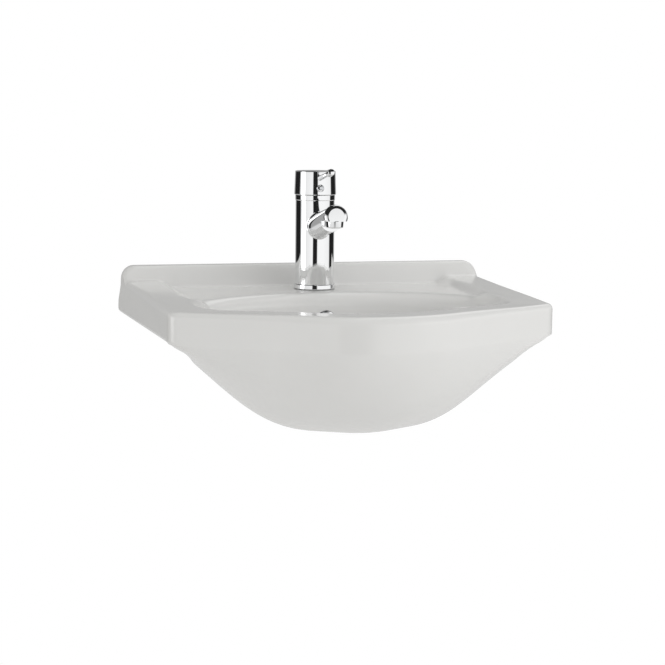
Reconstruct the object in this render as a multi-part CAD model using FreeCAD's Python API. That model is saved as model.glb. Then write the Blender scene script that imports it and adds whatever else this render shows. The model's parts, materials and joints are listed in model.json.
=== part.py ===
import FreeCAD, Part
import math
import os
from FreeCAD import Vector

# Semi-recessed wash basin with a single-lever mixer tap and a push-button waste.
# Millimetres. +X is to the user's right, -Y to the user, +Z up.
# The origin lies on the wall face, on the centre line, at the height of the two side wings.

# Ceramic: outline seen from above
BASIN_WIDTH = 500.0           # over the back corners
FRONT_WIDTH = 478.0           # over the front corners
SIDE_DEPTH = 315.0            # wall to the front corners
BASIN_DEPTH = 425.0           # wall to the nose
NOSE_RADIUS = 170.0
CORNER_RADIUS = 12.0
EDGE_ROUND = 6.5              # rounding of the top outer edge

# Ceramic: skirt, deck and the recess round the tap and bowl
SKIRT_HEIGHT = 40.0
SKIRT_WALL = 14.0
DECK_THICKNESS = 12.0
RECESS_DEPTH = 5.0
RECESS_HALF = 203.0           # half width of the recess at the wing tops
RECESS_SIDE = 275.0           # wall to the front edge of the recess, inside the bowl
RECESS_TURN = 110.0           # radius of that turn
RECESS_SLOPE = 16.0           # width of the sloping edge between recess and wings
RECESS_START = 8.0            # wall to the hidden back edge of the recess, under the upstand

# Ceramic: upstand along the wall
UPSTAND_HEIGHT = 21.7
UPSTAND_TOP = 8.0             # flat part of its top
UPSTAND_CROWN = 14.0          # radius of its rounded front
UPSTAND_COVE = 14.0           # radius of the hollow foot where it meets the deck
UPSTAND_ROOT = 12.0           # how far it reaches into the deck
UPSTAND_INSET = 1.5           # how far its ends stand in from the back corners

# Ceramic: the belly under the skirt
BELLY_DEPTH = 155.0           # wing tops to the lowest ceramic
FLANK_FALL = (1.3, 0.56)      # how the belly narrows under the skirt, and how it turns to the foot
FRONT_FALL = (1.7, 0.5)       # the same for its front
BELLY_BACK = 112.0            # wall to the back of the belly at the skirt
BELLY_BACK_HALF = 168.0       # half width of the belly's back at the skirt
FLANK_ROUND = 109.0           # extra softness of the flanks at half depth
BACK_ROUND_TOP = 50.0
FOOT_HALF = 67.0              # half width of the flat foot
FOOT_AHEAD = 70.0             # waste to the front of the foot
FOOT_BEHIND = 55.0            # waste to the back of the foot
FOOT_BACK_HALF = 43.0         # half width of the foot's back
FOOT_NOSE = 30.0              # nose radius of the foot
FOOT_CORNER = 28.0
FOOT_BACK_ROUND = 20.0

# Ceramic: bowl
BOWL_HALF = 182.0             # half width of the opening
BOWL_CENTRE = 255.0           # wall to the widest line of the opening
FRONT_RIM = 42.0              # nose to the front edge of the opening
BOWL_BACK = 132.0             # wall to the back edge of the opening
BOWL_SQUEEZE = 0.16           # how far the front half is drawn in between nose and sides
BOWL_DEPTH = 112.0            # wing tops to the bowl floor
SIDE_FULLNESS = (2.8, 2.0)    # how steeply the sides fall, and how sharply they turn to the floor
FRONT_FULLNESS = (3.5, 3.0)   # the same for the front wall
FLOOR_HALF = 45.0             # half width of the flat floor round the waste
FLOOR_REACH = 43.0            # waste to the front and back edge of that floor
LIP_ROUND = 10.0              # rounding of the bowl's edge
LIP_FLARE = 24.0              # how far the cutting form spreads above the edge

# Ceramic: overflow
OVERFLOW_DROP = 40.0          # wing tops to the overflow's centre
OVERFLOW_HOLE = 10.5
OVERFLOW_SPOT = 1.2           # depth of the flat seat for the ring
RING_RADIUS = 13.5            # overflow ring's flange
RING_FLANGE = 2.4
RING_EDGE = 1.4               # rounding of its flange
RING_TUBE = 9.0               # length of its sleeve
RING_WALL = 1.2
DUCT_GAP = 5.0                # ceramic between bowl and duct
DUCT_DEPTH = 9.0
DUCT_HALF = 15.0
DUCT_WALL = 7.0
DUCT_TOP = 26.0               # wing tops to the top of the duct
DUCT_KNEE = 100.0             # wing tops to the bend of the duct
DUCT_MOUTH = 134.0            # wing tops to the lower edge of its mouth in the outlet
DUCT_RISE = 10.0              # height of the mouth
RIB_HALF = 27.0

# Ceramic: wall bolts
BOLT_SPACING = 280.0
BOLT_DROP = 27.0              # wing tops to the bolt holes
BOLT_RADIUS = 7.0

# Tap: body and spout
TAP_SETBACK = 70.0            # wall to the tap's axis
TAP_HOLE = 17.5
SEAL_THICKNESS = 1.2
SEAL_RADIUS = 25.2
BASE_RING_RADIUS = 27.2
BASE_RING_HEIGHT = 5.5
BASE_RING_CHAMFER = 0.8
BODY_RADIUS = 25.5
BODY_HEIGHT = 110.3           # base ring to the top of the body
SPIGOT_RADIUS = 16.0
SPIGOT_DROP = 6.4             # base ring's top to the spigot's end
SPOUT_RADIUS = 15.6
SPOUT_RISE = 12.0             # degrees above level
SPOUT_HEIGHT = 72.3           # base ring's top to the spout's axis at the body's axis
SPOUT_LENGTH = 110.0          # along its axis
SPOUT_BORE = 8.5
SPOUT_EDGE = 5.5              # rounding of the spout's end
SPOUT_ROOT = 2.5              # rounding where spout and body meet
OUTLET_REACH = 98.0           # tap's axis to the aerator's axis
OUTLET_HEIGHT = 88.6          # base ring's top to the flat under the spout's end
NOTCH_MARGIN = 3.5            # gap behind the aerator

# Tap: aerator
AERATOR_RADIUS = 10.5
AERATOR_DROP = 8.0
AERATOR_NECK = 9.4
AERATOR_NECK_HEIGHT = 4.8
AERATOR_BORE = 7.8
AERATOR_LIP = 0.8
AERATOR_SEAL = 2.0
AERATOR_HOLE = 0.8
AERATOR_PITCH = 2.5

# Tap: inlets and fixing under the deck
INLET_SPREAD = 8.5            # tap's axis to each inlet, sideways
INLET_BACK = 4.0              # tap's axis to the inlets, towards the wall
INLET_RADIUS = 5.0
INLET_DEPTH = 14.0
WATERWAY = 3.2
STUD_FRONT = 9.5              # tap's axis to the stud, towards the user
STUD_RADIUS = 4.0
STUD_LENGTH = 62.0
STUD_GRIP = 8.0               # length of the stud inside the body
CLAMP_RADIUS = 26.0
CLAMP_SLOT = 16.5             # half width of the slot for the supply tails
CLAMP_WEB = 3.0               # web between stud and slot
GASKET_THICKNESS = 3.0
PLATE_THICKNESS = 2.5
CLAMP_NUT_FLATS = 13.0
CLAMP_NUT_HEIGHT = 12.0

# Tap: cartridge
CHAMBER_HEIGHT = 82.3         # base ring's top to the chamber floor
CARTRIDGE_RADIUS = 17.5
CARTRIDGE_BASE = 3.0
CAVITY_RADIUS = 14.2
CARTRIDGE_HEIGHT = 20.0
CARTRIDGE_LIP = 3.7
DISC_THICKNESS = 4.0
SLIDER_RADIUS = 9.5
SLIDER_THICKNESS = 5.4
SLIDER_OFFSET = 3.5           # slider's centre behind the tap's axis when closed
MIXING_RADIUS = 5.7           # hollow under the slider
MIXING_DEPTH = 1.1
PORT_RADIUS = 2.6
CHAMBER_SEAL = 0.9            # wire radius of the seals under the cartridge
TURRET_RADIUS = 9.95
TURRET_FLANGE = 13.5
TURRET_FLANGE_HEIGHT = 3.2
TURRET_TOP = 6.0              # pivot to the turret's top
STEM_HALF = 4.0
STEM_ABOVE = 27.0             # pivot to the stem's top
STEM_BELOW = 7.0              # pivot to the end of its square part
STEM_FINGER = 1.6
STEM_BALL = 2.2
PIVOT_HEIGHT = 112.5          # base ring's top to the lift pivot
PIVOT_RADIUS = 1.5
PIVOT_HALF = 9.4
BALL_DROP = 19.2              # pivot to the ball that drives the slider
TURRET_SLOT = 8.2             # half length of the slot the stem swings in
BALL_SLOT = 9.3               # the same in the flange, where the ball swings
NUT_RADIUS = 19.5
NUT_HEIGHT = 7.0
NUT_BORE = 12.0

# Tap: shroud and handle
SHROUD_BAND = 6.4
SHROUD_DOME = 2.1             # rise of the shroud above its band
SHROUD_WALL = 1.8
SHROUD_TOP_RADIUS = 19.5
SHROUD_HOLE = 12.5
JOINT_GROOVE = 0.5
HANDLE_GAP = 0.5
HANDLE_RADIUS = 27.1
HANDLE_HEIGHT = 31.3
HANDLE_SKIRT = 26.0           # inner radius of the skirt
HANDLE_CAVITY = 13.0          # height of the hollow under the handle
HANDLE_EDGE = 1.0
HANDLE_TOP_EDGE = 1.4
HUB_RADIUS = 8.5
HUB_RISE = 5.0                # handle's lower edge to the hub's lower end
RIB_RADIUS = 5.6              # boss that carries the grub screw
PLUG_HEIGHT = 9.0             # handle's lower edge to the index plug
PLUG_RADIUS = 4.3
PLUG_DEPTH = 4.0
PLUG_PROUD = 0.5
GRUB_RADIUS = 2.5
GRUB_LENGTH = 6.0
LEVER_HEIGHT = 22.5           # handle's lower edge to the lever's root
LEVER_RISE = 10.0             # degrees above level
LEVER_RADIUS = 3.7            # at the handle
LEVER_TIP = 2.6               # at the knob
LEVER_LENGTH = 50.0           # outside the handle
LEVER_ROOT = 9.0              # inside the handle
KNOB_RADIUS = 5.5
KNOB_LENGTH = 12.0
KNOB_GRIP = 6.0               # depth of the lever inside the knob
KNOB_EDGE = 2.2

# Waste
WASTE_SETBACK = 215.0         # wall to the waste's axis
OUTLET_RADIUS = 23.0
POCKET_DEPTH = 12.0           # foot up to the ceramic that the waste clamps
FLANGE_SEAT = 5.0             # bowl floor to the seat of the waste
FLANGE_RECESS = 33.0
NUT_POCKET = 37.0
TAIL_RADIUS = 20.95
TAIL_BORE = 18.4
TAIL_FREE = 9.0               # plain end that takes the trap
TAIL_RELIEF = 1.0             # width of the groove above the plain end
TAIL_RELIEF_DEPTH = 0.5
FLANGE_RADIUS = 31.5
FLANGE_THICKNESS = 3.5
FLANGE_EDGE = 2.1             # bevel of the flange
TOP_SEAL_THICKNESS = 2.0
UNDER_SEAL_THICKNESS = 3.0
UNDER_SEAL_RADIUS = 30.0
BACKNUT_FLATS = 56.0
BACKNUT_HEIGHT = 9.0
SLOT_WIDTH = 14.0
SLOT_HEIGHT = 16.0
SLOT_DROP = 7.0               # flange to the top of the overflow slots
BRIDGE_HEIGHT = 8.0
BRIDGE_ARM = 5.0
BRIDGE_HUB = 11.0
CLICK_RADIUS = 9.0
CLICK_LENGTH = 32.0
CLICK_BORE = 5.6
CLICK_LID = 3.0
CLICK_FLOOR = 2.0
PLUG_TRAVEL = 9.0
CAP_RADIUS = 29.0
CAP_EDGE = 2.4
CAP_CROWN = 4.2
CAP_SEAL = 2.2
CAP_SEAL_RADIUS = 26.5
PUSH_STEM = 4.0
PUSH_COLLAR = 5.2
PUSH_COLLAR_HEIGHT = 3.0
CAP_GRIP = 2.4                # stem inside the cap
SPRING_WIRE = 0.45
SPRING_RADIUS = 4.2
SPRING_TURNS = 6

# Clearances
FIT = 0.05                    # radial, between pieces that seat or turn in one another
SLIDE_GAP = 0.3               # between pieces that pass each other
SEAL_CLEAR = 0.3              # plug seal above the flange when shut

# Levels and places that follow from the sizes above
FLOOR_Z = -RECESS_DEPTH
CEILING_Z = FLOOR_Z - DECK_THICKNESS
TAP_Y = -TAP_SETBACK
RING_Z = FLOOR_Z + SEAL_THICKNESS
BODY_Z = RING_Z + BASE_RING_HEIGHT
BODY_TOP = BODY_Z + BODY_HEIGHT
CHAMBER_Z = BODY_Z + CHAMBER_HEIGHT
PIVOT_Z = BODY_Z + PIVOT_HEIGHT
BALL_Z = PIVOT_Z - BALL_DROP
HANDLE_Z = BODY_TOP + SHROUD_BAND + HANDLE_GAP
OUTLET_Z = BODY_Z + OUTLET_HEIGHT
AERATOR_Y = TAP_Y - OUTLET_REACH
BOWL_FRONT = BASIN_DEPTH - FRONT_RIM
WASTE_Y = -WASTE_SETBACK
SEAT_Z = -BOWL_DEPTH - FLANGE_SEAT
FLANGE_Z = SEAT_Z + TOP_SEAL_THICKNESS
OUTLET_UNDER_Z = POCKET_DEPTH - BELLY_DEPTH
NUT_TOP_Z = OUTLET_UNDER_Z - UNDER_SEAL_THICKNESS
TAIL_END_Z = NUT_TOP_Z - BACKNUT_HEIGHT - TAIL_RELIEF - TAIL_FREE
PLUG_Z = FLANGE_Z + FLANGE_THICKNESS + SEAL_CLEAR + PLUG_TRAVEL
TOP = Vector(0, 0, 1)

os.makedirs("parts", exist_ok=True)


def front_slope():
    """Tangent of the angle that the straight front edges make with the wall."""
    nose_centre = NOSE_RADIUS - BASIN_DEPTH
    rise = -SIDE_DEPTH - nose_centre
    run = FRONT_WIDTH / 2
    tangent = math.atan2(rise, run) - math.acos(NOSE_RADIUS / math.hypot(rise, run))
    return math.tan(tangent + math.pi / 2)


def nose_setback(radius):
    """Distance from a rounded nose to the point where its two straight edges would meet."""
    return radius * (math.sqrt(1 + front_slope() ** 2) - 1)


def outline(corners, z):
    """Closed wire at height z through (x, y, radius) corners, with each corner rounded."""
    starts = []
    arcs = []
    count = len(corners)
    for index, (x, y, radius) in enumerate(corners):
        here = Vector(x, y, z)
        before = Vector(corners[index - 1][0], corners[index - 1][1], z)
        after = Vector(corners[(index + 1) % count][0], corners[(index + 1) % count][1], z)
        if radius == 0:
            starts.append((here, here))
            arcs.append(None)
            continue
        back = (before - here).normalize()
        ahead = (after - here).normalize()
        half = back.getAngle(ahead) / 2
        centre = here + (back + ahead).normalize() * (radius / math.sin(half))
        enter = here + back * (radius / math.tan(half))
        leave = here + ahead * (radius / math.tan(half))
        middle = centre + (here - centre).normalize() * radius
        starts.append((enter, leave))
        arcs.append(Part.Arc(enter, middle, leave).toShape())
    edges = []
    for index in range(count):
        if arcs[index]:
            edges.append(arcs[index])
        edges.append(Part.LineSegment(starts[index][1], starts[(index + 1) % count][0]).toShape())
    return Part.Wire(edges)


def prism(wire, height):
    return Part.Face(wire).extrude(Vector(0, 0, height))


def cylinder(radius, z_low, z_high, x=0.0, y=0.0):
    return Part.makeCylinder(radius, z_high - z_low, Vector(x, y, z_low))


def tube(outer, inner, z_low, z_high, x=0.0, y=0.0):
    return cylinder(outer, z_low, z_high, x, y).cut(cylinder(inner, z_low, z_high, x, y))


def box(x_half, y_low, y_high, z_low, z_high):
    size = Vector(2 * x_half, y_high - y_low, z_high - z_low)
    return Part.makeBox(size.x, size.y, size.z, Vector(-x_half, y_low, z_low))


def turned(points, y):
    """Solid turned about the vertical axis at (0, y) from a closed list of (radius, z) points."""
    path = [Vector(radius, y, z) for radius, z in points]
    face = Part.Face(Part.makePolygon(path + path[:1]))
    return face.revolve(Vector(0, y, 0), TOP, 360)


def hexagon(flats, z_low, z_high, x, y):
    radius = flats / math.sqrt(3)
    points = []
    for step in range(7):
        angle = math.radians(60 * step)
        points.append(Vector(x + radius * math.cos(angle), y + radius * math.sin(angle), z_low))
    return prism(Part.makePolygon(points), z_high - z_low)


def side_slab(points, x_half):
    """Solid with the closed outline of (y, z) points, centred on the basin's middle plane."""
    path = [Vector(-x_half, y, z) for y, z in points]
    return Part.Face(Part.makePolygon(path + path[:1])).extrude(Vector(2 * x_half, 0, 0))


# Ceramic basin

def plan_corners(inset=0.0):
    """Corners of the basin seen from above, from the left back corner, optionally drawn in."""
    slope = front_slope()
    taper = (BASIN_WIDTH - FRONT_WIDTH) / 2 / SIDE_DEPTH
    back_half = BASIN_WIDTH / 2 - inset * math.hypot(1, taper)
    nose_y = -BASIN_DEPTH - nose_setback(NOSE_RADIUS) + inset * math.hypot(1, slope)
    front_half = (back_half + taper * nose_y) / (1 - taper * slope)
    corner_y = nose_y + slope * front_half
    corner = max(CORNER_RADIUS - inset, 0)
    nose = max(NOSE_RADIUS - inset, 0)
    wall_half = back_half - taper * inset
    return [(wall_half, -inset, 0), (-wall_half, -inset, 0), (-front_half, corner_y, corner),
            (0, nose_y, nose), (front_half, corner_y, corner)]


def belly_corners(sink):
    """Corners of the belly's level section, from sink 0 at the skirt to 1 at the foot."""
    fall = (1 - sink ** FRONT_FALL[0]) ** FRONT_FALL[1]
    spread = (1 - sink ** FLANK_FALL[0]) ** FLANK_FALL[1]
    half = FOOT_HALF + (FRONT_WIDTH / 2 - FOOT_HALF) * spread
    nose = FOOT_NOSE + (NOSE_RADIUS - FOOT_NOSE) * spread
    foot_front = WASTE_SETBACK + FOOT_AHEAD
    nose_y = -foot_front - (BASIN_DEPTH - foot_front) * fall - nose_setback(nose)
    corner_y = nose_y + front_slope() * half
    corner = CORNER_RADIUS + (FOOT_CORNER - CORNER_RADIUS) * sink + 4 * FLANK_ROUND * sink * (1 - sink)
    back_y = -BELLY_BACK - (WASTE_SETBACK - FOOT_BEHIND - BELLY_BACK) * sink ** 2
    back = FOOT_BACK_ROUND + (BACK_ROUND_TOP - FOOT_BACK_ROUND) * spread
    back_half = FOOT_BACK_HALF + (BELLY_BACK_HALF - FOOT_BACK_HALF) * spread
    return [(back_half, back_y, back), (-back_half, back_y, back), (-half, corner_y, corner),
            (0, nose_y, nose), (half, corner_y, corner)]


def belly():
    sections = []
    for sink in (0, 0.05, 0.13, 0.26, 0.42, 0.58, 0.72, 0.84, 0.93, 0.98, 1):
        z = -SKIRT_HEIGHT - (BELLY_DEPTH - SKIRT_HEIGHT) * sink
        sections.append(outline(belly_corners(sink), z))
    return Part.makeLoft(sections, True, False)


def recess():
    """Cutting form of the recess, with sloping edges that run out above the wings."""
    sections = []
    for lift in (0, 1.5):
        grow = RECESS_SLOPE * (lift - 1)
        half = RECESS_HALF + grow
        front = -RECESS_SIDE - grow
        turn = RECESS_TURN + grow
        corners = [(half, -RECESS_START, 0), (-half, -RECESS_START, 0),
                   (-half, front, turn), (half, front, turn)]
        sections.append(outline(corners, FLOOR_Z + RECESS_DEPTH * lift))
    return Part.makeLoft(sections, True, True)


def upstand():
    """Raised back edge: one profile run along the wall and turned round both ends."""
    front = UPSTAND_TOP + UPSTAND_CROWN
    shoulder = UPSTAND_HEIGHT - UPSTAND_CROWN
    foot = front + UPSTAND_COVE
    diagonal = math.sqrt(0.5)
    end_x = BASIN_WIDTH / 2 - UPSTAND_INSET
    axis_x = end_x - front

    def at(depth, z):
        return Vector(-axis_x, -depth, z)

    crown_mid = at(UPSTAND_TOP + UPSTAND_CROWN * diagonal, shoulder + UPSTAND_CROWN * diagonal)
    cove_mid = at(foot - UPSTAND_COVE * diagonal, shoulder - UPSTAND_COVE * diagonal)
    wire = Part.Wire([
        Part.LineSegment(at(0, -UPSTAND_ROOT), at(0, UPSTAND_HEIGHT)).toShape(),
        Part.LineSegment(at(0, UPSTAND_HEIGHT), at(UPSTAND_TOP, UPSTAND_HEIGHT)).toShape(),
        Part.Arc(at(UPSTAND_TOP, UPSTAND_HEIGHT), crown_mid, at(front, shoulder)).toShape(),
        Part.Arc(at(front, shoulder), cove_mid, at(foot, shoulder - UPSTAND_COVE)).toShape(),
        Part.LineSegment(at(foot, shoulder - UPSTAND_COVE), at(foot, -UPSTAND_ROOT)).toShape(),
        Part.LineSegment(at(foot, -UPSTAND_ROOT), at(0, -UPSTAND_ROOT)).toShape()])
    profile = Part.Face(wire)
    run = profile.extrude(Vector(2 * axis_x, 0, 0))
    left = profile.revolve(Vector(-axis_x, 0, 0), TOP, -90)
    right = left.mirror(Vector(0, 0, 0), Vector(1, 0, 0))
    limit = box(end_x, -foot, 0, -UPSTAND_ROOT, UPSTAND_HEIGHT)
    return run.fuse([left, right]).common(limit)


def bowl_size(depth):
    """Half width, front reach, back reach and centre of the bowl at a share of its depth."""
    side = (1 - depth ** SIDE_FULLNESS[0]) ** (1 / SIDE_FULLNESS[1])
    steep = (1 - depth ** FRONT_FULLNESS[0]) ** (1 / FRONT_FULLNESS[1])
    half = FLOOR_HALF + (BOWL_HALF - FLOOR_HALF) * side
    centre = -BOWL_CENTRE + (BOWL_CENTRE - WASTE_SETBACK) * depth ** 2
    front = WASTE_SETBACK + FLOOR_REACH + (BOWL_FRONT - WASTE_SETBACK - FLOOR_REACH) * steep
    back = WASTE_SETBACK - FLOOR_REACH - (WASTE_SETBACK - FLOOR_REACH - BOWL_BACK) * steep
    return half, front + centre, -back - centre, centre


def bowl_wall(drop):
    """Distance along Y of the bowl's back wall, on the middle plane, at a drop below the wings."""
    half, front, back, centre = bowl_size(drop / BOWL_DEPTH)
    return centre + back


def oval(half, front, back, centre, squeeze, level):
    """Smooth closed curve: half an oval to the back and a drawn-in half to the front."""
    points = []
    steps = 32
    for step in range(steps):
        turn = 2 * math.pi * step / steps
        reach = back
        draw = 1.0
        if math.sin(turn) < 0:
            reach = front
            draw = 1 - squeeze * math.sin(2 * turn) ** 2
        points.append(Vector(half * math.cos(turn), centre + reach * math.sin(turn) * draw, level(turn)))
    curve = Part.BSplineCurve()
    curve.interpolate(Points=points, PeriodicFlag=True)
    return Part.Wire([curve.toShape()])


def bowl():
    """Cutting form of the bowl: a rolled lip that follows the deck, and the bowl below it."""
    half, front, back, centre = bowl_size(0)
    sections = [oval(half + LIP_FLARE, front + LIP_FLARE, back + LIP_FLARE, centre, BOWL_SQUEEZE,
                     lambda turn: LIP_ROUND)]
    for roll in (25, 42, 64, 90):
        spread = LIP_ROUND * (1 - math.sin(math.radians(roll)))
        sink = LIP_ROUND * (1 - math.cos(math.radians(roll)))

        def level(turn):
            return FLOOR_Z * (1 + math.sin(turn)) / 2 - sink

        sections.append(oval(half + spread, front + spread, back + spread, centre, BOWL_SQUEEZE, level))
    for depth in (0.25, 0.42, 0.58, 0.72, 0.84, 0.93, 0.98, 1):
        half, front, back, centre = bowl_size(depth)
        squeeze = BOWL_SQUEEZE * (1 - depth)
        sections.append(oval(half, front, back, centre, squeeze, lambda turn: -BOWL_DEPTH * depth))
    return Part.makeLoft(sections, True, False)


def overflow_duct():
    """Water way from the overflow hole, down behind the bowl, into the side of the outlet."""
    inner = bowl_wall(OVERFLOW_DROP) + DUCT_GAP
    outer = inner + DUCT_DEPTH
    reach = WASTE_Y + OUTLET_RADIUS - DUCT_DEPTH
    mouth_top = -DUCT_MOUTH + DUCT_RISE
    run = DUCT_MOUTH - DUCT_KNEE
    return side_slab([(inner, -DUCT_TOP), (outer, -DUCT_TOP), (outer, -DUCT_KNEE),
                      (outer - run, -DUCT_MOUTH), (reach, -DUCT_MOUTH), (reach, mouth_top),
                      (inner - run + DUCT_RISE, mouth_top), (inner, -DUCT_KNEE)], DUCT_HALF)


def overflow_rib():
    """Ridge on the back of the bowl that carries the duct."""
    outer = bowl_wall(OVERFLOW_DROP) + DUCT_GAP + DUCT_DEPTH + DUCT_WALL
    run = DUCT_MOUTH - DUCT_KNEE
    low = -DUCT_MOUTH - DUCT_WALL
    return side_slab([(outer, CEILING_Z), (outer, -DUCT_KNEE - DUCT_WALL / 2), (outer - run, low),
                      (WASTE_Y, low), (WASTE_Y, -DUCT_KNEE),
                      (-BELLY_BACK - DUCT_DEPTH, CEILING_Z)], RIB_HALF)


def basin_body():
    slab = prism(outline(plan_corners(), 0), -SKIRT_HEIGHT)
    top_edges = []
    for edge in slab.Edges:
        limits = edge.BoundBox
        if limits.ZMin > -EDGE_ROUND and limits.YMin < -EDGE_ROUND:
            top_edges.append(edge)
    slab = slab.makeFillet(EDGE_ROUND, top_edges)
    hollow = prism(outline(plan_corners(SKIRT_WALL), -SKIRT_HEIGHT), SKIRT_HEIGHT + CEILING_Z)
    core = prism(outline(belly_corners(0), -SKIRT_HEIGHT), SKIRT_HEIGHT + CEILING_Z)
    shell = slab.cut(hollow.cut(core)).fuse([belly(), overflow_rib()])
    body = shell.cut(bowl()).cut(recess()).fuse(upstand())
    seat_y = bowl_wall(OVERFLOW_DROP) + OVERFLOW_SPOT
    back = Vector(0, 1, 0)
    seat = Vector(0, seat_y, -OVERFLOW_DROP)
    overflow = Part.makeCylinder(OVERFLOW_HOLE, DUCT_GAP + DUCT_DEPTH / 2, seat, back)
    spot = Part.makeCylinder(RING_RADIUS + SLIDE_GAP, 4 * OVERFLOW_SPOT, seat, -back)
    holes = [cylinder(TAP_HOLE, CEILING_Z, FLOOR_Z, 0, TAP_Y),
             cylinder(OUTLET_RADIUS, OUTLET_UNDER_Z, SEAT_Z, 0, WASTE_Y),
             cylinder(FLANGE_RECESS, SEAT_Z, SEAT_Z + 2 * FLANGE_SEAT, 0, WASTE_Y),
             cylinder(NUT_POCKET, TAIL_END_Z, OUTLET_UNDER_Z, 0, WASTE_Y)]
    for side in (-1, 1):
        place = Vector(side * BOLT_SPACING / 2, 0, -BOLT_DROP)
        holes.append(Part.makeCylinder(BOLT_RADIUS, SKIRT_WALL, place, -back))
    return body.cut([overflow_duct(), overflow, spot] + holes).removeSplitter()


def overflow_ring():
    seat = Vector(0, bowl_wall(OVERFLOW_DROP) + OVERFLOW_SPOT, -OVERFLOW_DROP)
    front = Vector(0, -1, 0)
    sleeve = OVERFLOW_HOLE - FIT
    flange = Part.makeCylinder(RING_RADIUS, RING_FLANGE, seat, front)
    rim = [edge for edge in flange.Edges if edge.BoundBox.YMax < seat.y - RING_FLANGE / 2]
    flange = flange.makeFillet(RING_EDGE, rim)
    ring = flange.fuse(Part.makeCylinder(sleeve, RING_TUBE, seat, -front))
    bore_start = seat + front * RING_FLANGE
    return ring.cut(Part.makeCylinder(sleeve - RING_WALL, RING_FLANGE + RING_TUBE, bore_start, -front))


# Tap body and base

def base_seal():
    return tube(SEAL_RADIUS, SPIGOT_RADIUS + FIT, FLOOR_Z, RING_Z, 0, TAP_Y)


def tap_base_ring():
    inner = SPIGOT_RADIUS + FIT
    edge = BASE_RING_RADIUS - BASE_RING_CHAMFER
    return turned([(inner, RING_Z), (BASE_RING_RADIUS, RING_Z),
                   (BASE_RING_RADIUS, BODY_Z - BASE_RING_CHAMFER), (edge, BODY_Z), (inner, BODY_Z)], TAP_Y)


def spout_axis():
    rise = math.radians(SPOUT_RISE)
    return Vector(0, TAP_Y, BODY_Z + SPOUT_HEIGHT), Vector(0, -math.cos(rise), math.sin(rise))


def spout():
    start, along = spout_axis()
    rod = Part.makeCylinder(SPOUT_RADIUS, SPOUT_LENGTH, start, along)
    end = start + along * SPOUT_LENGTH
    rim = [edge for edge in rod.Edges if edge.CenterOfMass.distanceToPoint(end) < SPOUT_EDGE]
    rod = rod.makeFillet(SPOUT_EDGE, rim)
    notch_start = AERATOR_Y + AERATOR_RADIUS + NOTCH_MARGIN
    return rod.cut(box(SPOUT_RADIUS, AERATOR_Y - SPOUT_LENGTH, notch_start, BODY_Z, OUTLET_Z))


def tap_body():
    column = turned([(0, BODY_Z), (BODY_RADIUS, BODY_Z), (BODY_RADIUS, BODY_TOP - JOINT_GROOVE),
                     (BODY_RADIUS - JOINT_GROOVE, BODY_TOP), (0, BODY_TOP)], TAP_Y)
    body = column.fuse(spout()).removeSplitter()
    seam = []
    for edge in body.Edges:
        limits = edge.BoundBox
        on_column = TAP_Y - BODY_RADIUS - FIT < limits.YMin and limits.YMax < TAP_Y
        if on_column and limits.ZLength > SPOUT_RADIUS and limits.XLength > SPOUT_RADIUS:
            seam.append(edge)
    body = body.makeFillet(SPOUT_ROOT, seam)
    spigot_end = BODY_Z - SPIGOT_DROP
    body = body.fuse(cylinder(SPIGOT_RADIUS, spigot_end, BODY_Z, 0, TAP_Y))
    start, along = spout_axis()
    reach = OUTLET_REACH / math.cos(math.radians(SPOUT_RISE))
    chamber = CARTRIDGE_RADIUS + FIT
    socket_top = OUTLET_Z + AERATOR_NECK_HEIGHT + AERATOR_SEAL
    cuts = [Part.makeCylinder(SPOUT_BORE, reach, start, along),
            cylinder(AERATOR_NECK + FIT, OUTLET_Z, socket_top, 0, AERATOR_Y),
            cylinder(chamber, CHAMBER_Z, BODY_TOP, 0, TAP_Y),
            cylinder(NUT_RADIUS, BODY_TOP - NUT_HEIGHT, BODY_TOP, 0, TAP_Y),
            cylinder(WATERWAY, BODY_Z + SPOUT_HEIGHT, CHAMBER_Z, 0, TAP_Y - chamber / 2),
            cylinder(STUD_RADIUS, spigot_end, spigot_end + STUD_GRIP, 0, TAP_Y - STUD_FRONT)]
    for side in (-1, 1):
        x = side * INLET_SPREAD
        y = TAP_Y + INLET_BACK
        cuts.append(cylinder(INLET_RADIUS, spigot_end, spigot_end + INLET_DEPTH, x, y))
        cuts.append(cylinder(WATERWAY, spigot_end + INLET_DEPTH, CHAMBER_Z, x, TAP_Y + INLET_BACK))
    return body.cut(cuts)


def aerator_housing():
    foot = OUTLET_Z - AERATOR_DROP
    edge = foot + AERATOR_LIP
    neck_top = OUTLET_Z + AERATOR_NECK_HEIGHT
    mouth = AERATOR_BORE - AERATOR_LIP
    return turned([(mouth, foot), (AERATOR_RADIUS - AERATOR_LIP, foot), (AERATOR_RADIUS, edge),
                   (AERATOR_RADIUS, OUTLET_Z), (AERATOR_NECK, OUTLET_Z), (AERATOR_NECK, neck_top),
                   (AERATOR_BORE, neck_top), (AERATOR_BORE, edge), (mouth, edge)], AERATOR_Y)


def aerator_insert():
    low = OUTLET_Z - AERATOR_DROP + AERATOR_LIP
    high = OUTLET_Z + AERATOR_NECK_HEIGHT
    radius = AERATOR_BORE - FIT
    insert = cylinder(radius, low, high, 0, AERATOR_Y)
    holes = []
    rows = int(radius / AERATOR_PITCH)
    for row in range(-rows, rows + 1):
        for column in range(-rows, rows + 1):
            x = AERATOR_PITCH * (column + row / 2)
            y = AERATOR_PITCH * row * math.sqrt(3) / 2
            if math.hypot(x, y) < radius - 2 * AERATOR_HOLE:
                holes.append(cylinder(AERATOR_HOLE, low, high, x, AERATOR_Y + y))
    return insert.cut(holes)


def aerator_seal():
    low = OUTLET_Z + AERATOR_NECK_HEIGHT
    return tube(AERATOR_NECK, AERATOR_BORE - AERATOR_LIP, low, low + AERATOR_SEAL, 0, AERATOR_Y)


# Fixing under the deck

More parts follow.
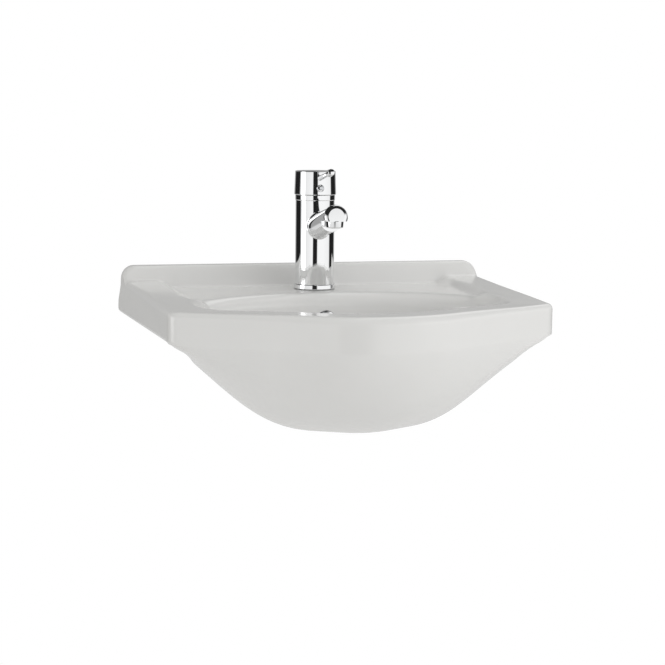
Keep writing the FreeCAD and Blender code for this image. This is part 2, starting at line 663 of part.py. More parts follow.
def fixing_stud():
    top = BODY_Z - SPIGOT_DROP + STUD_GRIP
    return cylinder(STUD_RADIUS - FIT, top - STUD_LENGTH, top, 0, TAP_Y - STUD_FRONT)


def horseshoe(z_low, z_high):
    """Slotted clamping washer, open to the wall so that the supply tails pass."""
    stud_y = TAP_Y - STUD_FRONT
    plate = cylinder(CLAMP_RADIUS, z_low, z_high, 0, TAP_Y)
    plate = plate.cut(cylinder(STUD_RADIUS + FIT, z_low, z_high, 0, stud_y))
    return plate.cut(box(CLAMP_SLOT, stud_y + STUD_RADIUS + CLAMP_WEB, TAP_Y + CLAMP_RADIUS, z_low, z_high))


def clamp_gasket():
    return horseshoe(CEILING_Z - GASKET_THICKNESS, CEILING_Z)


def clamp_plate():
    top = CEILING_Z - GASKET_THICKNESS
    return horseshoe(top - PLATE_THICKNESS, top)


def clamp_nut():
    top = CEILING_Z - GASKET_THICKNESS - PLATE_THICKNESS
    low = top - CLAMP_NUT_HEIGHT
    stud_y = TAP_Y - STUD_FRONT
    thread = cylinder(STUD_RADIUS + FIT, low, top, 0, stud_y)
    return hexagon(CLAMP_NUT_FLATS, low, top, 0, stud_y).cut(thread)


# Cartridge

def port_places():
    """Centres of the two inlet ports and the outlet port, as (x, y)."""
    front = (CARTRIDGE_RADIUS + FIT) / 2
    return [(-INLET_SPREAD, TAP_Y + INLET_BACK), (INLET_SPREAD, TAP_Y + INLET_BACK), (0, TAP_Y - front)]


def cartridge_seals():
    """Three rubber rings, one round each port, on the chamber floor."""
    rings = []
    outer = PORT_RADIUS + 2 * CHAMBER_SEAL
    for x, y in port_places():
        rings.append(tube(outer, PORT_RADIUS, CHAMBER_Z, CHAMBER_Z + CHAMBER_SEAL, x, y))
    return Part.makeCompound(rings)


def cartridge_base():
    low = CHAMBER_Z
    high = CHAMBER_Z + CARTRIDGE_BASE
    base = cylinder(CARTRIDGE_RADIUS, low, high, 0, TAP_Y)
    for x, y in port_places():
        base = base.cut(cylinder(PORT_RADIUS + 2 * CHAMBER_SEAL + FIT, low, low + CHAMBER_SEAL, x, y))
        base = base.cut(cylinder(PORT_RADIUS, low, high, x, y))
    return base


def cartridge_housing():
    low = CHAMBER_Z + CARTRIDGE_BASE
    high = CHAMBER_Z + CARTRIDGE_HEIGHT
    shell = tube(CARTRIDGE_RADIUS, TURRET_RADIUS + FIT, low, high, 0, TAP_Y)
    return shell.cut(cylinder(CAVITY_RADIUS, low, high - CARTRIDGE_LIP, 0, TAP_Y))


def fixed_disc():
    low = CHAMBER_Z + CARTRIDGE_BASE
    disc = cylinder(CAVITY_RADIUS - FIT, low, low + DISC_THICKNESS, 0, TAP_Y)
    for x, y in port_places():
        disc = disc.cut(cylinder(PORT_RADIUS, low, low + DISC_THICKNESS, x, y))
    return disc


def moving_disc():
    """Sliding disc with a mixing hollow below and a socket for the stem's ball above."""
    low = CHAMBER_Z + CARTRIDGE_BASE + DISC_THICKNESS + FIT
    high = low + SLIDER_THICKNESS
    centre = TAP_Y + SLIDER_OFFSET
    disc = cylinder(SLIDER_RADIUS, low, high, 0, centre)
    disc = disc.cut(cylinder(MIXING_RADIUS, low, low + MIXING_DEPTH, 0, centre))
    return disc.cut(cylinder(STEM_BALL + 2 * SLIDE_GAP, BALL_Z - STEM_BALL - SLIDE_GAP, high, 0, TAP_Y))


def turret():
    lip = CHAMBER_Z + CARTRIDGE_HEIGHT - CARTRIDGE_LIP - FIT
    flange = cylinder(TURRET_FLANGE, lip - TURRET_FLANGE_HEIGHT, lip, 0, TAP_Y)
    tower = cylinder(TURRET_RADIUS, lip, PIVOT_Z + TURRET_TOP, 0, TAP_Y)
    slot = box(STEM_HALF + FIT, TAP_Y - TURRET_SLOT, TAP_Y + TURRET_SLOT, lip, PIVOT_Z + TURRET_TOP)
    ball_slot = box(STEM_HALF + FIT, TAP_Y - BALL_SLOT, TAP_Y + BALL_SLOT, lip - TURRET_FLANGE_HEIGHT, lip)
    start = Vector(-TURRET_RADIUS, TAP_Y, PIVOT_Z)
    bore = Part.makeCylinder(PIVOT_RADIUS, 2 * TURRET_RADIUS, start, Vector(1, 0, 0))
    return flange.fuse(tower).removeSplitter().cut([slot, ball_slot, bore])


def pivot_pin():
    start = Vector(-PIVOT_HALF, TAP_Y, PIVOT_Z)
    return Part.makeCylinder(PIVOT_RADIUS - FIT / 2, 2 * PIVOT_HALF, start, Vector(1, 0, 0))


def lever_stem():
    low = PIVOT_Z - STEM_BELOW
    square = box(STEM_HALF, TAP_Y - STEM_HALF, TAP_Y + STEM_HALF, low, PIVOT_Z + STEM_ABOVE)
    finger = cylinder(STEM_FINGER, BALL_Z, low, 0, TAP_Y)
    ball = Part.makeSphere(STEM_BALL, Vector(0, TAP_Y, BALL_Z))
    start = Vector(-STEM_HALF, TAP_Y, PIVOT_Z)
    bore = Part.makeCylinder(PIVOT_RADIUS + FIT / 2, 2 * STEM_HALF, start, Vector(1, 0, 0))
    return square.fuse([finger, ball]).cut(bore)


def cartridge_nut():
    low = BODY_TOP - NUT_HEIGHT
    return tube(NUT_RADIUS - FIT, NUT_BORE, low, BODY_TOP - FIT, 0, TAP_Y)


# Shroud and handle

def shroud():
    band_top = BODY_TOP + SHROUD_BAND
    dome = band_top + SHROUD_DOME
    inner = BODY_RADIUS - SHROUD_WALL
    bevel = BODY_RADIUS - JOINT_GROOVE
    ceiling = dome - SHROUD_WALL
    return turned([(inner, BODY_TOP), (bevel, BODY_TOP), (BODY_RADIUS, BODY_TOP + JOINT_GROOVE),
                   (BODY_RADIUS, band_top - JOINT_GROOVE), (bevel, band_top), (SHROUD_TOP_RADIUS, dome),
                   (SHROUD_HOLE, dome), (SHROUD_HOLE, ceiling), (SHROUD_TOP_RADIUS - SHROUD_WALL / 2, ceiling),
                   (inner, band_top - SHROUD_WALL)], TAP_Y)


def lever_axis():
    rise = math.radians(LEVER_RISE)
    along = Vector(0, -math.cos(rise), math.sin(rise))
    return Vector(0, TAP_Y - HANDLE_RADIUS, HANDLE_Z + LEVER_HEIGHT), along


def handle_cap():
    top = HANDLE_Z + HANDLE_HEIGHT
    ceiling = HANDLE_Z + HANDLE_CAVITY
    cap = turned([(0, ceiling), (HANDLE_SKIRT, ceiling), (HANDLE_SKIRT, HANDLE_Z),
                  (HANDLE_RADIUS - HANDLE_EDGE, HANDLE_Z), (HANDLE_RADIUS, HANDLE_Z + HANDLE_EDGE),
                  (HANDLE_RADIUS, top), (0, top)], TAP_Y)
    rim = [edge for edge in cap.Edges if edge.BoundBox.ZMin > top - FIT and edge.Length > HANDLE_RADIUS * 2]
    cap = cap.makeFillet(HANDLE_TOP_EDGE, rim)
    plug_z = HANDLE_Z + PLUG_HEIGHT
    front = Vector(0, -1, 0)
    axis = Vector(0, TAP_Y, plug_z)
    hub = cylinder(HUB_RADIUS, HANDLE_Z + HUB_RISE, ceiling, 0, TAP_Y)
    rib = Part.makeCylinder(RIB_RADIUS, HANDLE_SKIRT + FIT, axis, front)
    cap = cap.fuse([hub, rib]).removeSplitter()
    socket = STEM_HALF + FIT
    root, along = lever_axis()
    cuts = [box(socket, TAP_Y - socket, TAP_Y + socket, HANDLE_Z, PIVOT_Z + STEM_ABOVE + FIT),
            Part.makeCylinder(GRUB_RADIUS, HANDLE_RADIUS, axis, front),
            Part.makeCylinder(PLUG_RADIUS, PLUG_DEPTH, axis + front * (HANDLE_RADIUS - PLUG_DEPTH), front),
            Part.makeCylinder(LEVER_RADIUS, LEVER_ROOT + HANDLE_RADIUS, root - along * LEVER_ROOT, along)]
    return cap.cut(cuts)


def lever_pin():
    root, along = lever_axis()
    inside = Part.makeCylinder(LEVER_RADIUS - FIT, LEVER_ROOT, root - along * LEVER_ROOT, along)
    length = LEVER_LENGTH - KNOB_GRIP
    taper = Part.makeCone(LEVER_RADIUS - FIT, LEVER_TIP - FIT, length, root, along)
    tip = Part.makeCylinder(LEVER_TIP - FIT, KNOB_GRIP, root + along * length, along)
    return inside.fuse([taper, tip])


def lever_knob():
    root, along = lever_axis()
    start = root + along * (LEVER_LENGTH - KNOB_GRIP)
    knob = Part.makeCylinder(KNOB_RADIUS, KNOB_LENGTH, start, along)
    rims = [edge for edge in knob.Edges if edge.Closed]
    knob = knob.makeFillet(KNOB_EDGE, rims)
    return knob.cut(Part.makeCylinder(LEVER_TIP, KNOB_GRIP, start, along))


def grub_screw():
    start = Vector(0, TAP_Y - STEM_HALF, HANDLE_Z + PLUG_HEIGHT)
    front = Vector(0, -1, 0)
    screw = Part.makeCylinder(GRUB_RADIUS - FIT, GRUB_LENGTH, start, front)
    key = Part.makeCylinder(GRUB_RADIUS / 2, GRUB_LENGTH / 2, start + front * (GRUB_LENGTH / 2), front)
    return screw.cut(key)


def indicator_plug():
    front = Vector(0, -1, 0)
    start = Vector(0, TAP_Y, HANDLE_Z + PLUG_HEIGHT) + front * (HANDLE_RADIUS - PLUG_DEPTH)
    plug = Part.makeCylinder(PLUG_RADIUS - FIT, PLUG_DEPTH + PLUG_PROUD, start, front)
    rim = [edge for edge in plug.Edges if edge.BoundBox.YMax < start.y - PLUG_DEPTH]
    return plug.makeFillet(PLUG_PROUD, rim)


# Waste and its push-button plug

def waste_body():
    """Flanged and slotted tail, with a bridge inside that carries the click mechanism."""
    flange_top = FLANGE_Z + FLANGE_THICKNESS
    free_z = TAIL_END_Z + TAIL_FREE
    relief = TAIL_RADIUS - TAIL_RELIEF_DEPTH
    shell = turned([(TAIL_BORE, TAIL_END_Z), (TAIL_RADIUS, TAIL_END_Z), (TAIL_RADIUS, free_z),
                    (relief, free_z), (relief, free_z + TAIL_RELIEF), (TAIL_RADIUS, free_z + TAIL_RELIEF),
                    (TAIL_RADIUS, FLANGE_Z), (FLANGE_RADIUS, FLANGE_Z),
                    (FLANGE_RADIUS, flange_top - FLANGE_EDGE), (FLANGE_RADIUS - FLANGE_EDGE, flange_top),
                    (TAIL_BORE, flange_top)], WASTE_Y)
    slot_top = FLANGE_Z - SLOT_DROP
    slot_low = slot_top - SLOT_HEIGHT
    across = box(TAIL_RADIUS, WASTE_Y - SLOT_WIDTH / 2, WASTE_Y + SLOT_WIDTH / 2, slot_low, slot_top)
    along = across.copy()
    along.rotate(Vector(0, WASTE_Y, 0), TOP, 90)
    shell = shell.cut([across, along])
    low = slot_low - BRIDGE_HEIGHT
    high = slot_low
    middle = TAIL_BORE + (TAIL_RADIUS - TAIL_BORE) / 2
    arm = box(middle, WASTE_Y - BRIDGE_ARM / 2, WASTE_Y + BRIDGE_ARM / 2, low, high)
    cross = arm.copy()
    cross.rotate(Vector(0, WASTE_Y, 0), TOP, 90)
    hub = cylinder(BRIDGE_HUB, low, high, 0, WASTE_Y)
    shell = shell.fuse([arm, cross, hub]).removeSplitter()
    return shell.cut(cylinder(CLICK_RADIUS, low, high, 0, WASTE_Y))


def waste_top_seal():
    return tube(FLANGE_RADIUS, TAIL_RADIUS + FIT, SEAT_Z, FLANGE_Z, 0, WASTE_Y)


def waste_under_seal():
    low = OUTLET_UNDER_Z - UNDER_SEAL_THICKNESS
    return tube(UNDER_SEAL_RADIUS, TAIL_RADIUS + FIT, low, OUTLET_UNDER_Z, 0, WASTE_Y)


def waste_backnut():
    high = OUTLET_UNDER_Z - UNDER_SEAL_THICKNESS
    low = high - BACKNUT_HEIGHT
    thread = cylinder(TAIL_RADIUS + FIT, low, high, 0, WASTE_Y)
    return hexagon(BACKNUT_FLATS, low, high, 0, WASTE_Y).cut(thread)


def click_levels():
    """Lower and upper end of the click mechanism's housing."""
    low = FLANGE_Z - SLOT_DROP - SLOT_HEIGHT - BRIDGE_HEIGHT
    return low, low + CLICK_LENGTH


def click_housing():
    low, high = click_levels()
    shell = cylinder(CLICK_RADIUS - FIT, low, high, 0, WASTE_Y)
    shell = shell.cut(cylinder(CLICK_BORE, low + CLICK_FLOOR, high - CLICK_LID, 0, WASTE_Y))
    return shell.cut(cylinder(PUSH_STEM + FIT, high - CLICK_LID, high, 0, WASTE_Y))


def push_stem():
    low, high = click_levels()
    collar_top = high - CLICK_LID - SLIDE_GAP
    collar = cylinder(PUSH_COLLAR, collar_top - PUSH_COLLAR_HEIGHT, collar_top, 0, WASTE_Y)
    rod = cylinder(PUSH_STEM, collar_top, PLUG_Z + CAP_SEAL + CAP_GRIP, 0, WASTE_Y)
    return collar.fuse(rod).removeSplitter()


def plug_spring():
    """Coil under the stem's collar, each quarter turn an arc."""
    low, high = click_levels()
    start = low + CLICK_FLOOR + SPRING_WIRE + FIT
    end = high - CLICK_LID - SLIDE_GAP - PUSH_COLLAR_HEIGHT - SPRING_WIRE - FIT

    def at(quarter):
        angle = quarter * math.pi / 2
        z = start + (end - start) * quarter / (4 * SPRING_TURNS)
        return Vector(SPRING_RADIUS * math.cos(angle), WASTE_Y + SPRING_RADIUS * math.sin(angle), z)

    arcs = []
    for quarter in range(4 * SPRING_TURNS):
        arcs.append(Part.Arc(at(quarter), at(quarter + 0.5), at(quarter + 1)).toShape())
    path = Part.Wire(arcs)
    section = Part.Wire([Part.makeCircle(SPRING_WIRE, at(0), arcs[0].tangentAt(arcs[0].FirstParameter))])
    return path.makePipeShell([section], True, False)


def plug_seal():
    return tube(CAP_SEAL_RADIUS, PUSH_STEM + FIT, PLUG_Z, PLUG_Z + CAP_SEAL, 0, WASTE_Y)


def plug_cap():
    low = PLUG_Z + CAP_SEAL
    high = low + CAP_EDGE + CAP_CROWN
    sphere = (CAP_RADIUS ** 2 + CAP_CROWN ** 2) / (2 * CAP_CROWN)
    lean = math.asin(CAP_RADIUS / sphere) / 2
    rim = Vector(CAP_RADIUS, WASTE_Y, low + CAP_EDGE)
    half = Vector(sphere * math.sin(lean), WASTE_Y, high - sphere * (1 - math.cos(lean)))
    crown = Vector(0, WASTE_Y, high)
    foot = Vector(0, WASTE_Y, low)
    edge = Vector(CAP_RADIUS, WASTE_Y, low)
    wire = Part.Wire([Part.LineSegment(foot, edge).toShape(), Part.LineSegment(edge, rim).toShape(),
                      Part.Arc(rim, half, crown).toShape(), Part.LineSegment(crown, foot).toShape()])
    dome = Part.Face(wire).revolve(Vector(0, WASTE_Y, 0), TOP, 360)
    return dome.cut(cylinder(PUSH_STEM + FIT, low, low + CAP_GRIP + FIT, 0, WASTE_Y))


PIECES = [basin_body, overflow_ring, base_seal, tap_base_ring, tap_body, aerator_housing, aerator_insert,
          aerator_seal, fixing_stud, clamp_gasket, clamp_plate, clamp_nut, cartridge_seals, cartridge_base,
          cartridge_housing, fixed_disc, moving_disc, turret, pivot_pin, lever_stem, cartridge_nut, shroud,
          handle_cap, lever_pin, lever_knob, grub_screw, indicator_plug, waste_body, waste_top_seal,
          waste_under_seal, waste_backnut, click_housing, push_stem, plug_spring, plug_seal, plug_cap]

for piece in PIECES:
    shape = piece()
    shape.exportStep("parts/" + piece.__name__ + ".step")
    print(piece.__name__, len(shape.Solids), "solid, valid", shape.isValid(), round(shape.Volume, 1), "mm3")
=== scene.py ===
# %% [markdown]
# # A semi-recessed wash basin with a single-lever tap
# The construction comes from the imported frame: every piece is already there at its real size and
# place, in metres, with +X to the user's right, -Y to the user and +Z up. The wall is at y = 0, and
# z = 0 is the level of the two side wings. In this lesson the pieces that show get their finish.
# The glazed ceramic and the turned chrome pieces are modelled again as smooth meshes. The tap's
# column with its spout, and everything that is hidden, keep their solids and get a material.

# %% Load the frame
import json
import math

import bmesh
import bpy
from mathutils import Matrix, Vector


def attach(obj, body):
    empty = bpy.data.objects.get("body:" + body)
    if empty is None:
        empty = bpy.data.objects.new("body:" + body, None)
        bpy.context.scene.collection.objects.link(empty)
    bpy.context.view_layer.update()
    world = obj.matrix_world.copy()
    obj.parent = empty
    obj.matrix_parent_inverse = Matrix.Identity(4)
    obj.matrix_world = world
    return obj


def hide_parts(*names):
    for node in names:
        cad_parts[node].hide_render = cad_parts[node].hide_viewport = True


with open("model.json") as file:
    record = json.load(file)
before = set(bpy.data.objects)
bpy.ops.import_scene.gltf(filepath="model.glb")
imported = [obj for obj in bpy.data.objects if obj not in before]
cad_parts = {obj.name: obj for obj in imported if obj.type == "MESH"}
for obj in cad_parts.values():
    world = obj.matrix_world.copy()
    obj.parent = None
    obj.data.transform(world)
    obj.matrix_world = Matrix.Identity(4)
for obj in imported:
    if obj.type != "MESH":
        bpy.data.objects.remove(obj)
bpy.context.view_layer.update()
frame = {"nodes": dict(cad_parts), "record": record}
bpy.ops.object.select_all(action="DESELECT")
scene = bpy.context.scene
scene.view_settings.view_transform = "Standard"

# %% [markdown]
# ## The camera
# The photograph is taken from the front left and a little above, through a long lens. The place and
# the angles were found by matching corners of the ceramic, whose sizes are known, with their pixels.
# A camera could be aimed with a constraint, but writing its three axes keeps the small roll.

# %% Place the camera
CAMERA_PLACE = Vector((-0.5429, -2.1387, 0.2285))
CAMERA_YAW = 0.2682
CAMERA_PITCH = 0.1359
CAMERA_ROLL = 0.0108
FOCAL_PIXELS = 1625.35
IMAGE_SIDE = 665
SENSOR = 36.0

flat = math.cos(CAMERA_PITCH)
ahead = Vector((math.sin(CAMERA_YAW) * flat, math.cos(CAMERA_YAW) * flat, -math.sin(CAMERA_PITCH)))
right = Vector((math.cos(CAMERA_YAW), -math.sin(CAMERA_YAW), 0.0))
up = right.cross(ahead)
rolled_right = right * math.cos(CAMERA_ROLL) + up * math.sin(CAMERA_ROLL)
rolled_up = up * math.cos(CAMERA_ROLL) - right * math.sin(CAMERA_ROLL)
bpy.ops.object.camera_add()
camera = bpy.context.active_object
camera.data.sensor_width = SENSOR
camera.data.lens = FOCAL_PIXELS / IMAGE_SIDE * SENSOR
camera.matrix_world = Matrix.Translation(CAMERA_PLACE) @ Matrix(
    (rolled_right, rolled_up, -ahead)).transposed().to_4x4()
scene.camera = camera
print("camera lens", round(camera.data.lens, 1), "mm")

# %% [markdown]
# ## White surroundings
# The object hangs in plain white. Polished metal is only as good as what it mirrors, so mirrored
# rays see a photo studio: light walls on both sides, a grey wall behind the object, dark gaps
# between them and where the camera stands, and a dark ceiling with one bright panel. The camera
# itself sees white, and soft light comes from all round. An image of a studio could do this, but
# a few ramps round the horizon are enough.

# %% Nodes are laid out by small helpers
def add_node(tree, kind, **settings):
    """Adds a node and sets its inputs and properties by name."""
    node = tree.nodes.new(kind)
    for name, value in settings.items():
        if name in node.inputs:
            node.inputs[name].default_value = value
        else:
            setattr(node, name, value)
    return node


def grey_ramp(tree, stops):
    """A ramp of grey steps from (share, grey) stops."""
    ramp = add_node(tree, "ShaderNodeValToRGB")
    while len(ramp.color_ramp.elements) < len(stops):
        ramp.color_ramp.elements.new(0.5)
    for stop, (share, grey) in zip(ramp.color_ramp.elements, stops):
        stop.position = share
        stop.color = (grey, grey, grey, 1.0)
    return ramp


def height_band(tree, direction, low, high):
    """A socket that goes from 0 to 1 between two heights, in degrees over the horizon."""
    split = add_node(tree, "ShaderNodeSeparateXYZ")
    tree.links.new(direction, split.inputs[0])
    band = add_node(tree, "ShaderNodeMapRange")
    band.inputs["From Min"].default_value = math.sin(math.radians(low))
    band.inputs["From Max"].default_value = math.sin(math.radians(high))
    tree.links.new(split.outputs["Z"], band.inputs["Value"])
    return band.outputs["Result"]


def blend(tree, share, first, second):
    """A socket that goes from the first colour to the second with a share."""
    mixed = add_node(tree, "ShaderNodeMix", data_type="RGBA")
    tree.links.new(share, mixed.inputs["Factor"])
    tree.links.new(first, mixed.inputs["A"])
    tree.links.new(second, mixed.inputs["B"])
    return mixed.outputs["Result"]


# %% Greys of the studio
# Stops are (share of a full turn, grey). The camera stands at 0.5, and more is to its right.
FLOOR_GREY = 0.70
STUDIO_FLOOR = ((0.000, FLOOR_GREY), (1.000, FLOOR_GREY))
REAR_WALL = 0.36
DARK_GAP = 0.015
WALLS = (
    (0.000, REAR_WALL), (0.090, REAR_WALL), (0.102, DARK_GAP), (0.236, DARK_GAP), (0.252, 0.80),
    (0.340, 0.86), (0.466, 1.00), (0.474, DARK_GAP), (0.538, DARK_GAP), (0.548, 1.00),
    (0.650, 1.00), (0.762, 0.92), (0.778, DARK_GAP), (0.905, DARK_GAP), (0.918, REAR_WALL),
    (1.000, REAR_WALL))
UPPER_REAR = 0.32
UPPER_GAP = 0.02
UPPER_WALLS = (
    (0.000, UPPER_REAR), (0.236, UPPER_REAR), (0.260, 0.75), (0.466, 0.90), (0.476, UPPER_GAP),
    (0.536, UPPER_GAP), (0.552, 1.00), (0.762, 1.00), (0.800, UPPER_REAR), (1.000, UPPER_REAR))
CEILING_GREY = 0.02
CEILING = (
    (0.000, CEILING_GREY), (0.885, CEILING_GREY), (0.905, 1.00), (0.980, 1.00),
    (0.995, CEILING_GREY), (1.000, CEILING_GREY))
WALL_FOOT = (-15, -11)         # degrees over the horizon, where one band gives way to the next
UPPER_WALL_FOOT = (0.5, 3.5)
CEILING_EDGE = (19, 25)
print("studio stops", len(WALLS), len(UPPER_WALLS), len(CEILING))

# %% The studio that metal mirrors
world = bpy.data.worlds.new("white_studio")
world.use_nodes = True
scene.world = world
tree = world.node_tree
tree.nodes.clear()
direction = add_node(tree, "ShaderNodeTexCoord").outputs["Generated"]
to_camera = (0.0, 0.0, CAMERA_YAW + math.pi / 2)
turn = add_node(tree, "ShaderNodeMapping", vector_type="POINT", Rotation=to_camera)
around = add_node(tree, "ShaderNodeTexGradient", gradient_type="RADIAL")
tree.links.new(direction, turn.inputs["Vector"])
tree.links.new(turn.outputs["Vector"], around.inputs["Vector"])
bands = []
for stops in (STUDIO_FLOOR, WALLS, UPPER_WALLS, CEILING):
    ramp = grey_ramp(tree, stops)
    tree.links.new(around.outputs["Fac"], ramp.inputs["Fac"])
    bands.append(ramp.outputs["Color"])
room = bands[0]
for (low, high), band in zip((WALL_FOOT, UPPER_WALL_FOOT, CEILING_EDGE), bands[1:]):
    room = blend(tree, height_band(tree, direction, low, high), room, band)
print("studio bands", len(bands))

# %% [markdown]
# The world then tells its rays apart: the camera's rays see plain white, mirrored rays see the
# studio, and all others bring soft, slightly warm light, a little less of it from above.

# %% What each kind of ray sees
AMBIENT_AROUND = 0.79
AMBIENT_TOP = 0.67
AMBIENT_COLOUR = (1.0, 0.995, 0.975, 1.0)
WHITE = (1.0, 1.0, 1.0, 1.0)

backdrop = add_node(tree, "ShaderNodeBackground", Color=WHITE, Strength=1.0)
studio = add_node(tree, "ShaderNodeBackground", Strength=1.0)
tree.links.new(room, studio.inputs["Color"])
ambient = add_node(tree, "ShaderNodeBackground", Color=AMBIENT_COLOUR)
level = add_node(tree, "ShaderNodeMapRange")
level.inputs["To Min"].default_value = AMBIENT_AROUND
level.inputs["To Max"].default_value = AMBIENT_TOP
tree.links.new(height_band(tree, direction, 0, 90), level.inputs["Value"])
tree.links.new(level.outputs["Result"], ambient.inputs["Strength"])
path = add_node(tree, "ShaderNodeLightPath")
lit = add_node(tree, "ShaderNodeMixShader")
tree.links.new(path.outputs["Is Glossy Ray"], lit.inputs["Fac"])
tree.links.new(ambient.outputs[0], lit.inputs[1])
tree.links.new(studio.outputs[0], lit.inputs[2])
shown = add_node(tree, "ShaderNodeMixShader")
tree.links.new(path.outputs["Is Camera Ray"], shown.inputs["Fac"])
tree.links.new(lit.outputs[0], shown.inputs[1])
tree.links.new(backdrop.outputs[0], shown.inputs[2])
out = add_node(tree, "ShaderNodeOutputWorld")
tree.links.new(shown.outputs[0], out.inputs["Surface"])
print("world nodes", len(tree.nodes))

# %% [markdown]
# A basin hangs about 850 mm above the floor. The floor is a pale disc that keeps the soft shadow
# under the basin. It could end at a wall, but a plain product picture has no corner, so the disc
# fades into the white round it, for the camera only, and no edge shows in any view.

# %% The floor's disc
FLOOR_Z = -0.85
FLOOR_MIDDLE_Y = -0.2
FLOOR_RADIUS = 1.6

bpy.ops.mesh.primitive_circle_add(
    vertices=96, radius=FLOOR_RADIUS, fill_type="NGON", location=(0.0, FLOOR_MIDDLE_Y, FLOOR_Z))
floor = bpy.context.active_object
floor.name = "floor"
bpy.ops.object.transform_apply(location=True)
print("floor at", FLOOR_Z, "m")

# %% The floor's paint
FADE_START = 0.35
FADE_END = 1.05
FLOOR_PAINT = (0.85, 0.85, 0.85, 1.0)
FLOOR_GLOW = 0.05

pale = bpy.data.materials.new("pale_floor")
pale.use_nodes = True
tree = pale.node_tree
tree.nodes.clear()
place = add_node(tree, "ShaderNodeTexCoord")
to_middle = (0.0, -FLOOR_MIDDLE_Y, -FLOOR_Z)
centre = add_node(tree, "ShaderNodeMapping", vector_type="POINT", Location=to_middle)
tree.links.new(place.outputs["Object"], centre.inputs["Vector"])
reach = add_node(tree, "ShaderNodeVectorMath", operation="LENGTH")
tree.links.new(centre.outputs["Vector"], reach.inputs[0])
fade = add_node(tree, "ShaderNodeMapRange", interpolation_type="SMOOTHSTEP")
fade.inputs["From Min"].default_value = FADE_START
fade.inputs["From Max"].default_value = FADE_END
tree.links.new(reach.outputs["Value"], fade.inputs["Value"])
paint = add_node(tree, "ShaderNodeBsdfDiffuse", Color=FLOOR_PAINT)
glow = add_node(tree, "ShaderNodeEmission", Color=WHITE, Strength=FLOOR_GLOW)
white = add_node(tree, "ShaderNodeEmission", Color=WHITE, Strength=1.0)
middle = add_node(tree, "ShaderNodeAddShader")
tree.links.new(paint.outputs[0], middle.inputs[0])
tree.links.new(glow.outputs[0], middle.inputs[1])
path = add_node(tree, "ShaderNodeLightPath")
for_camera = add_node(tree, "ShaderNodeMath", operation="MULTIPLY")
tree.links.new(fade.outputs["Result"], for_camera.inputs[0])
tree.links.new(path.outputs["Is Camera Ray"], for_camera.inputs[1])
faded = add_node(tree, "ShaderNodeMixShader")
tree.links.new(for_camera.outputs[0], faded.inputs["Fac"])
tree.links.new(middle.outputs[0], faded.inputs[1])
tree.links.new(white.outputs[0], faded.inputs[2])
out = add_node(tree, "ShaderNodeOutputMaterial")
tree.links.new(faded.outputs[0], out.inputs["Surface"])
floor.data.materials.append(pale)
print("floor faded out at", FADE_END, "m")

# %% [markdown]
# ## Lamps
# Glossy ceramic is lit with large soft boxes, because a bare bulb would show as a hard dot. Most of
# the light already comes from all round. A box at the right models the front, and a weak one above
# lifts the deck. The window at the left only shows as a sheen on the glaze and gives no other light.

# %% Three soft boxes
BASIN_MIDDLE = (0.0, -0.2, -0.05)


def soft_box(name, place, side, power):
    """A square lamp that is turned to the basin's middle and isn't mirrored."""
    bpy.ops.object.light_add(type="AREA", location=place)
    lamp = bpy.context.active_object
    lamp.name = name
    lamp.data.shape = "SQUARE"
    lamp.data.size = side
    lamp.data.energy = power
    lamp.rotation_euler = (Vector(BASIN_MIDDLE) - Vector(place)).to_track_quat("-Z", "Y").to_euler()
    lamp.visible_glossy = False
    return lamp


window = soft_box("window_left", (-2.1, -0.25, 0.1), 0.9, 4.5)
window.visible_glossy = True
window.visible_diffuse = False
key = soft_box("key_right", (1.6, -1.5, 0.8), 1.2, 9.3)
top = soft_box("top", (0.2, -0.5, 2.0), 1.2, 2.0)
print("lamps", [(lamp.name, round(lamp.data.energy, 1)) for lamp in (window, key, top)])

# %% [markdown]
# ## The ceramic, ring by ring
# The basin is one glazed casting: a bowed front that runs down into a round belly, two wings, a
# shallow recess round the tap and bowl, an upstand along the wall, and a hollow underside. It could
# be carved from a block with Booleans, but every cut would leave a hard edge where the real glaze
# is soft. So it is drawn as one skin: a ring of 380 points starts in the waste hole, and each
# extrude takes the ring a little further, over the foot, up the belly, through the hollow, up the
# skirt, across the deck, over the lip and down the bowl, back to where it began.

# %% Sizes of the ceramic in millimetres
MM = 0.001
HALF_WIDTH = 249.95            # at the wall
FRONT_HALF = 236.3             # at the front corners
SIDE_DEPTH = 320.0             # wall to the front corners
DEPTH = 424.8                  # wall to the nose
NOSE_RADIUS = 170.0
CORNER_RADIUS = 18.0
SKIRT_LOW = -40.0
SKIRT_WALL = 14.0
HOLLOW_TOP = -17.0
WASTE_Y = -215.0
STEPS = (60, 70, 120, 70, 60)  # points of a ring from corner to corner
BACK_START = STEPS[0] + STEPS[1]
BACK_END = BACK_START + STEPS[2]


def smooth(low, high, value):
    """Goes gently from 0 at low to 1 at high."""
    share = min(max((value - low) / (high - low), 0.0), 1.0)
    return share ** 3 * (share * (6 * share - 15) + 10)


def mix(start, end, share):
    return start + (end - start) * share


def on_back(index):
    """Tells whether a point of a ring lies along the wall."""
    return BACK_START <= index <= BACK_END


print("points in a ring", sum(STEPS))

# %% [markdown]
# Seen from above the outline has five corners: the nose, two front corners and two at the wall. One
# function walks round such a list of rounded corners and always gives the same number of points
# from corner to corner, so the rings of skirt and belly line up and the skin has no twist. The
# points crowd towards the corners, where the shape turns.

# %% Walk round an outline
CORNER_CROWD = 0.8


def front_slope():
    """Tangent of the angle between the straight front edges and the wall."""
    rise = DEPTH - NOSE_RADIUS - SIDE_DEPTH
    reach = math.hypot(rise, FRONT_HALF)
    return math.tan(math.atan2(rise, FRONT_HALF) - math.acos(NOSE_RADIUS / reach) + math.pi / 2)


SLOPE = front_slope()


def crowd(share, amount):
    """Moves evenly spread shares towards both ends."""
    return share - amount * math.sin(2 * math.pi * share) / (2 * math.pi)


